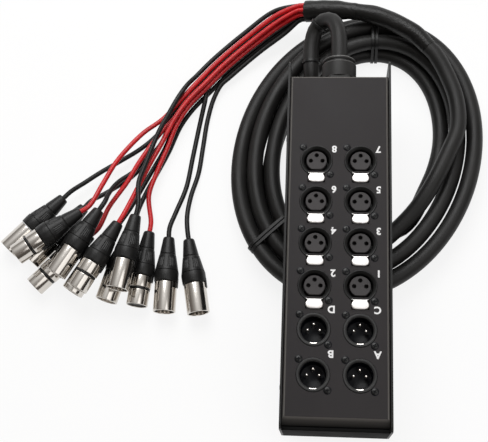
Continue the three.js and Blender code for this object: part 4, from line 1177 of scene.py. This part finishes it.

# %% [markdown]
# ## Return sockets
#
# A return socket is a plain deep bore with three pins. Its ring is a little lighter than
# the bore, which is painted near black and faintly blue as painted shade in the deep
# recess. A polished contact sits at the lower edge of the ring: that is where the light
# draws a short bright arc, so it is a small arc piece of its own. The pins are turned,
# with rounded tips.

# %% Return ring, bore, contact and pins
RETURN_RING = [
    (RING_RADIUS, -4), (RING_RADIUS, 0.45), (12.3, RING_PROUD), (11.0, RING_PROUD), (10.1, 0.1),
    (9.85, -0.6), (9.8, -1.4), (11, -1.4), (RING_RADIUS, -1.8)]
RETURN_BORE = [
    (9.82, -0.9), (9.7, BORE_FLOOR + 0.5), (9.2, BORE_FLOOR), (0, BORE_FLOOR), (0, RING_BACK),
    (RING_RADIUS, RING_BACK), (RING_RADIUS, -1.9), (10.6, -0.9), (9.82, -0.9)]
CONTACT = ((10.62, 0.7), (10.4, 0.66), (10.12, 0.54), (9.98, 0.36), (9.9, -1.0), (10.3, -1.0))
CONTACT_MIDDLE, CONTACT_HALF = math.radians(-90), math.radians(14)
SOCKET_PIN = [(0, -1.7), (0.55, -1.82), (1.0, -2.25), (1.25, -3.0), (1.25, -14.1), (0, -14.1)]
return_ring_data = turned(
    "return_ring", rounded(RETURN_RING, 0.25, 3, True), ring_grey, 96, 50, closed=True)
# The bore's near-black tone is painted shade in the deep recess.
painted_shade_bore_data = turned("return_bore", RETURN_BORE, painted_shade_black, 64, 50)
contact_data = arc("shell_contact", CONTACT, CONTACT_MIDDLE, CONTACT_HALF, contact_metal, 40)
socket_pins_data = three_pins("return_pins", SOCKET_PIN)
print("contact corners:", len(contact_data.vertices))

# %% [markdown]
# ## Screws
#
# Each socket is held by two dark cross-head screws at opposite corners. A screw is a low
# dome with a cross cut into it, by the same boolean as before. Under it lies a thin black
# disc, a painted shadow round the head, which keeps a black head readable on black paint.

# %% Cross-head screw and its painted shadow disc
CROSS_REACH, CROSS_HALF = 1.55, 0.3
SCREW_HEAD = [(0, -1), (2.35, -1), (2.5, 0.1), (2.4, 0.3), (2.1, 0.45), (1.3, 0.6), (0, 0.66)]
# A thin black disc under each screw head: a painted shadow.
SCREW_SHADOW_DISC = [(0, -0.5), (3.05, -0.5), (3.05, 0.02), (2.9, 0.07), (0, 0.08)]
corner = [(-CROSS_REACH, -CROSS_HALF), (-CROSS_HALF, -CROSS_HALF), (-CROSS_HALF, -CROSS_REACH)]
cross = []
for quarter in range(4):
    spin = Matrix.Rotation(quarter * math.pi / 2, 2)
    cross += [spin @ Vector(p) for p in corner]
screw_data = carved(
    "screw", turned("screw_whole", SCREW_HEAD, dark_screw, 40),
    plate("cross_cutter", cross, [(0, -0.2), (0, 2)], dark_screw), dark_screw)
screw_shadow_disc_data = turned("screw_shadow_disc", SCREW_SHADOW_DISC, painted_shade_black, 40)
print("screw corners:", len(screw_data.vertices))

# %% [markdown]
# ## The connector field put together
#
# Twelve sockets stand in two columns and six rows. The four returns are nearest to the
# closed end, and the eight sends follow towards the gland. Each screw is turned by a
# different amount, as a screwdriver leaves them. A tab rides on its own body, because it
# slides on a joint. Two more screws hold each side wall of the case to the folded lid.

# %% The connector field put together
COLUMNS, FIRST_ROW, ROW_PITCH = (-17.25, 17.25), 40.3, 33.7
SOCKET_ROWS = (
    ("return_b", "return_a"), ("return_d", "return_c"), ("send_2", "send_1"),
    ("send_4", "send_3"), ("send_6", "send_5"), ("send_8", "send_7"))
SCREW_OFFSETS = ((-10.8, 11.4), (10.8, -11.4))
SOCKET_PARTS = {
    "send": {"ring": ring_data, "housing": housing_data, "insert": insert_data},
    "return": {
        "ring": return_ring_data, "bore": painted_shade_bore_data, "contact": contact_data, "pins": socket_pins_data},
}
SIDE_WALL, SIDE_SCREWS, SIDE_DROP = 41.25, (31.1, 228.9), -6.5
socket_places = {
    name: (COLUMNS[column], FIRST_ROW + row * ROW_PITCH)
    for row, pair in enumerate(SOCKET_ROWS) for column, name in enumerate(pair)}
for count, (name, (x, y)) in enumerate(socket_places.items()):
    kind, which = name.split("_")
    where = Matrix.Translation(on_deck(x, y))
    if kind == "send":
        tab = set_out(f"tab_{which}_dressed", tab_data, where, f"push_tab_{which}")
        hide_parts(f"push_tab_{which}")
    for role, data in SOCKET_PARTS[kind].items():
        piece = set_out(f"{name}_socket_{role}", data, where)
        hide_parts(f"{kind}_socket_{which}")
    for k, (dx, dy) in enumerate(SCREW_OFFSETS):
        seat = Matrix.Translation(on_deck(x + dx, y + dy))
        set_out(f"{name}_screw_{k}", screw_data, seat @ Matrix.Rotation(0.9 * count + 1.7 * k, 4, "Z"))
        set_out(f"{name}_screw_shadow_disc_{k}", screw_shadow_disc_data, seat)
for wall in (-1, 1):
    turned_out = Matrix.Rotation(wall * math.pi / 2, 4, "Y")
    for y in SIDE_SCREWS:
        spot = Matrix.Translation(on_deck(wall * SIDE_WALL, y, SIDE_DROP))
        set_out(f"side_screw_{wall + 1}_{round(y)}", screw_data, spot @ turned_out)
print("sockets:", len(socket_places))

# %% [markdown]
# ## Numbers and letters
#
# Plain printed numbers tell the sends apart, and letters the returns. They stand on
# their heads as seen from the closed end, so that the person at the gland can read them.
# Blender's own text object makes the shapes, and a small offset makes them bold. Read
# back as plain mesh data, they ride like every other piece.

# %% Labels
LABEL_HEIGHT, CAPITAL_SHARE, LABEL_BOLD, LABEL_PROUD = 5.5, 0.72, 0.28, 0.04
LABEL_OFFSETS = {"send": (13.9, 10.2), "return": (13.0, 15.8)}
upside_down = Matrix.Rotation(math.pi, 4, "Z")
for name, (x, y) in socket_places.items():
    kind, which = name.split("_")
    text = bpy.data.curves.new("label_" + which, "FONT")
    text.body = which.upper()
    text.align_x, text.align_y = "CENTER", "CENTER"
    text.size = LABEL_HEIGHT / CAPITAL_SHARE * MM
    text.offset = LABEL_BOLD * MM
    text.resolution_u = 6
    writing = bpy.data.objects.new("label_text", text)
    bpy.context.scene.collection.objects.link(writing)
    data = as_mesh(writing)
    bpy.data.objects.remove(writing)
    data.materials.clear()
    data.materials.append(label_ink)
    dx, dy = LABEL_OFFSETS[kind]
    set_out("label_" + which, data, Matrix.Translation(on_deck(x + dx, y + dy, LABEL_PROUD)) @ upside_down)
print("labels:", len(socket_places))

# %% [markdown]
# ## The gland's nut
#
# The cable leaves through a nylon gland. A dome nut squeezes a rubber seal onto the
# cable. The nut is turned: a plain skirt, a shoulder, a fine groove and a lip round the
# mouth. Its two edges are painted pale as painted highlights where the light catches
# them. They are thin rings of their own, laid over the nut, so that the painted highlight
# can have a finish of its own.

# %% Dome nut
GLAND_HEIGHT, LID_END, NUT_FACE = 33.0, 282.2, 288.4
NUT = [
    (7.0, -1.2), (13.6, -1.2), (14.2, -0.6), (14.2, 12.4), (13.2, 12.9), (13.2, 14.4), (13.9, 14.8),
    (13.9, 16.4), (13.1, 17.3), (11.2, 17.6), (8.2, 17.6), (7.4, 17.0), (7.0, 15)]
# Thin pale rings laid over the nut's two edges: painted highlights.
NUT_HIGHLIGHT_RIMS = (
    [(13.85, 15.9), (13.96, 16.4), (13.3, 17.2), (12.5, 17.5), (12.5, 17.3)],
    [(14.1, 11.9), (14.27, 12.3), (13.9, 12.7), (13.5, 12.85), (13.5, 12.6)])
along_case = Matrix.Rotation(-math.pi / 2, 4, "X")


def on_gland(y):
    """A frame on the gland's axis: Z runs out of the case."""
    return Matrix.Translation(place(0, y, CASE_REST + GLAND_HEIGHT)) @ along_case


nut_data = turned("gland_dome_nut", rounded(NUT, 0.35, 4, True), gland_nylon, 96, 50, closed=True)
nut = set_out("gland_dome_nut", nut_data, on_gland(NUT_FACE))
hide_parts("gland_nut")
highlight_rim_mesh = bmesh.new()
for rim in NUT_HIGHLIGHT_RIMS:
    turn(highlight_rim_mesh, rounded(rim, 0.2, 3, True), 96, closed=True)
highlight_rim_data = mesh_data("gland_nut_highlight_rims", highlight_rim_mesh, painted_highlight_nylon, 50)
nut_highlight_rims = set_out("gland_nut_highlight_rims", highlight_rim_data, on_gland(NUT_FACE))
print("nut corners:", len(nut_data.vertices))

# %% [markdown]
# ## The gland's body
#
# The body is screwed to the end of the case: a hexagon outside, a thread that the nut
# runs on, and a neck and locknut inside. The thread is a row of fine rings. A true
# helix would look no different under the nut.

# %% Hexagon, thread and locknut
HEX_FLATS, NECK_RADIUS, CABLE_HOLE = 13.4, 11.4, 7.1
THREAD_DEPTH, THREAD_FROM, THREAD_STEP = 0.6, 5.9, 0.5
hexagon = rounded(circle(HEX_FLATS / math.cos(math.pi / 6), 6), 1.4, 4, True)
thread = [(NECK_RADIUS - (THREAD_DEPTH if k % 2 else 0), THREAD_FROM + THREAD_STEP * k) for k in range(16)]
hex_mesh = bmesh.new()
stack(hex_mesh, hexagon, [(0.5, 0.3), (0, 0.8), (0, 5.0), (0.7, 5.9)])
mouth = [(CABLE_HOLE, 13.6), (CABLE_HOLE, THREAD_FROM)]
neck = [mouth[-1], (NECK_RADIUS, THREAD_FROM), *thread, *mouth]
turn(hex_mesh, neck)
turn(hex_mesh, [(0, -6), (10, -6), (10, 0.4), (0, 0.4)], 48)
stack(hex_mesh, hexagon, [(0.4, -6), (0, -5.6), (0, -2.1)])
gland_body = set_out("gland_hexagon", mesh_data("gland_hexagon", hex_mesh, gland_nylon), on_gland(LID_END))
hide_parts("gland_body")
print("thread rings:", len(thread) // 2)

# %% [markdown]
# ## The lid's paint
#
# The lid is one folded sheet. One material tells its stretches apart by height: it is the
# deck's paint down to the bend, and below it a ramp and a rising roughness take over. The
# ramp paints a pale line just below the deck, a painted highlight along the bend, and
# falls off to a dull black down the slope as painted shade. Height belongs to the model
# and not to the view.

# %% Paint of the folded lid, with a painted highlight and shade at the bend
BEVEL_DROP, BEND_FROM, BEND_TO, SLOPE_ROUGHNESS = 5, 0.02, 0.2, 0.95
# Tones of the painted highlight along the bend, fading to painted shade down the slope.
BEND_HIGHLIGHT_AND_SHADE_TONES = ((0.0, 0.14), (0.4, 0.05), (1.0, 0.008))


def depth_share(tree, near, far):
    """A node that rises from 0 to 1 between two depths below the deck."""
    return add_node(tree, "MapRange", From_Min=on_deck(0, 0, -near).z, From_Max=on_deck(0, 0, -far).z)


lid_paint_painted_light_and_shade = finish("lid_coat_painted_light_and_shade", PAINTED_LIGHT_DECK_TONES, DECK_GLOSS, PAINT_GRAIN, 25, specular=DECK_SPECULAR)
tree = lid_paint_painted_light_and_shade.node_tree
shader = tree.nodes["Principled BSDF"]
painted_light_deck_colour = shader.inputs["Base Color"].links[0].from_node
deck_gloss = shader.inputs["Roughness"].links[0].from_node
where, lid_place = add_node(tree, "TexCoord"), add_node(tree, "SeparateXYZ")
below, painted_bend_share = depth_share(tree, 0, BEVEL_DROP), depth_share(tree, BEND_FROM, BEND_TO)
# The ramp that paints the highlight at the bend and the shade down the slope.
painted_bend_light_and_shade = add_ramp(tree, [(position, grey(value, 0.06)) for position, value in BEND_HIGHLIGHT_AND_SHADE_TONES])
bent = add_node(tree, "Mix", data_type="RGBA")
dulled = add_node(tree, "Mix", B=SLOPE_ROUGHNESS)
wire(
    tree, (where, "Object", lid_place, "Vector"), (lid_place, "Z", below, "Value"),
    (lid_place, "Z", painted_bend_share, "Value"), (below, "Result", painted_bend_light_and_shade, "Fac"),
    (painted_bend_share, "Result", bent, "Factor"), (painted_light_deck_colour, "Color", bent, "A"),
    (painted_bend_light_and_shade, "Color", bent, "B"), (bent, "Result", shader, "Base Color"),
    (below, "Result", dulled, "Factor"), (deck_gloss, "Result", dulled, "A"),
    (dulled, "Result", shader, "Roughness"))
print("nodes in the lid's paint:", len(tree.nodes))

# %% [markdown]
# ## The case
#
# The folded steel keeps its measured solids. Sheet that is bent and powder coated has
# soft edges, so a narrow bevel rounds every fold and cut edge. It is a modifier, so the
# measured shape beneath stays as it was.

# %% Steel case
for node, paint, width in (("chassis_tray", case_paint, 0.45), ("face_plate", lid_paint_painted_light_and_shade, 0.35)):
    dress(node, paint)
    ease_edges(node, width, 3)
print("solids that stay:", sum(not part.hide_render for part in frame["nodes"].values()))

# %% [markdown]
# ## The tray's end flange
#
# At the closed end the tray's sheet is turned up and in, and closes the shallow recess
# between the side walls. It is a bar of one rounded section, drawn from wall to wall. It
# faces away from the light, and its paint is a darker, duller copy of the case's coat:
# painted shade.

# %% End flange of the tray
FLANGE_HALF, FLANGE_FRONT, FLANGE_BACK, FLANGE_LOW, FLANGE_TOP = 39.9, 0.15, 3.3, 0.3, 48.6
flange_side = rounded([
    (FLANGE_FRONT, FLANGE_LOW), (FLANGE_BACK, FLANGE_LOW), (FLANGE_BACK, FLANGE_TOP),
    (FLANGE_FRONT, FLANGE_TOP)], 1.4, 5, True)
flange_mesh = bmesh.new()
ends = [
    [flange_mesh.verts.new(place(x, point.x, CASE_REST + point.y)) for point in flange_side]
    for x in (-FLANGE_HALF, FLANGE_HALF)]
for k in range(len(flange_side)):
    flange_mesh.faces.new((ends[0][k - 1], ends[0][k], ends[1][k], ends[1][k - 1]))
for end in ends:
    flange_mesh.faces.new(end)
flange = set_out("tray_end_flange", mesh_data("tray_end_flange", flange_mesh, flange_paint_painted_shade, 30))
print("flange corners:", len(flange.data.vertices))

# %% [markdown]
# ## The paper
#
# The photograph was taken on white paper. Here the paper is a cove: a wide floor that
# curves up into a low wall, so that no horizon shows. It looks white to the camera, and
# in mirrors and glass too, because its material adds a glow of its own for those rays
# only. To every other ray it is a mid grey, so that it doesn't fill the undersides with
# light. Part of what the camera sees is still plain lit paper, so the object keeps its
# shadow.

# %% Floor
COVE_REACH, COVE_WALL, COVE_CURVE = 6000, 1300, 700
PAPER_SEEN, PAPER_FELT, PAPER_GLOW = (1.0, 1.0, 1.0, 1), (0.42, 0.40, 0.38, 1), 0.85
paper = bpy.data.materials.new("studio_paper")
paper.use_nodes = True
tree = paper.node_tree
shader = tree.nodes["Principled BSDF"]
shader.inputs["Roughness"].default_value = 0.95
seen_by = add_node(tree, "LightPath")
mirrored = add_node(tree, "Math", operation="MAXIMUM")
looked_at = add_node(tree, "Math", operation="MAXIMUM")
tone = add_node(tree, "Mix", data_type="RGBA", A=PAPER_FELT, B=PAPER_SEEN)
share = add_node(tree, "Math", operation="MULTIPLY")
share.inputs[1].default_value = PAPER_GLOW
glow = add_node(tree, "Emission", Color=PAPER_SEEN, Strength=1.0)
both = add_node(tree, "MixShader")
wire(
    tree, (seen_by, "Is Glossy Ray", mirrored, 0), (seen_by, "Is Transmission Ray", mirrored, 1),
    (seen_by, "Is Camera Ray", looked_at, 0), (mirrored, "Value", looked_at, 1),
    (looked_at, "Value", tone, "Factor"), (looked_at, "Value", share, 0),
    (tone, "Result", shader, "Base Color"), (share, "Value", both, "Fac"),
    (shader, "BSDF", both, 1), (glow, "Emission", both, 2),
    (both, "Shader", tree.nodes["Material Output"], "Surface"))
cove = rounded([(0, 0), (COVE_REACH, 0), (COVE_REACH, COVE_WALL)], COVE_CURVE, 12)
floor = bpy.data.objects.new("floor", turned("floor", cove, paper, 96))
floor.location.z = floor_height - 0.2 * MM
bpy.context.scene.collection.objects.link(floor)
floor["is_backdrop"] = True
print("floor under the coil:", round(floor.location.z, 5))

# %% [markdown]
# ## The sky
#
# Black things are drawn by what they reflect. The world is dark and warm towards the
# horizon and white overhead, like a soft light in a dim room. Its bright part leans
# towards the gland's end, which puts a clear edge on the round cables and keeps the deck
# dark. The lean comes from a dot product of each direction with the middle of the light.

# %% World
SKY_LEAN = math.radians(35)
SKY_STOPS = (
    (0.0, (0.10, 0.09, 0.08)), (0.55, (0.20, 0.18, 0.165)),
    (0.82, (0.45, 0.44, 0.43)), (0.95, (1.0, 1.0, 1.0)))
world = bpy.data.worlds.new("studio")
bpy.context.scene.world = world
world.use_nodes = True
tree = world.node_tree
background = tree.nodes["Background"]
background.inputs["Strength"].default_value = 1.0
direction = add_node(tree, "TexCoord")
toward = add_node(tree, "VectorMath", operation="DOT_PRODUCT")
toward.inputs[1].default_value = (0, math.sin(SKY_LEAN), math.cos(SKY_LEAN))
sky = add_ramp(tree, SKY_STOPS)
wire(
    tree, (direction, "Generated", toward, 0), (toward, "Value", sky, "Fac"),
    (sky, "Color", background, "Color"))
print("sky stops:", [round(stop.position, 2) for stop in sky.color_ramp.elements])

# %% [markdown]
# ## Lamps
#
# Two large soft lamps do the rest. The key stands beyond the gland and gives the shadows
# their direction, and a larger and weaker fill stands on the other side. Both aim at the
# middle of the object.

# %% Lamps
LAMPS = {
    "key": ((-0.2, 0.8, 1.05), 1.0, 11.0),
    "fill": ((0.75, -0.4, 1.4), 1.4, 5.5),
}
for name, (spot, size, power) in LAMPS.items():
    lamp = bpy.data.lights.new(name, "AREA")
    lamp.shape, lamp.size, lamp.energy = "DISK", size, power
    holder = bpy.data.objects.new(name, lamp)
    holder.location = spot
    holder.rotation_euler = (-Vector(spot)).to_track_quat("-Z", "Y").to_euler()
    bpy.context.scene.collection.objects.link(holder)
bpy.context.scene.view_settings.view_transform = "Standard"
print("lamps:", len(LAMPS))

# %% Size and finish
visual_bounds = [list(corner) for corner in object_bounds()]
before, after = (low + high for low, high in (cad_bounds, visual_bounds))
print("grown by (mm):", [round((b - a) / MM, 1) for a, b in zip(before, after)])
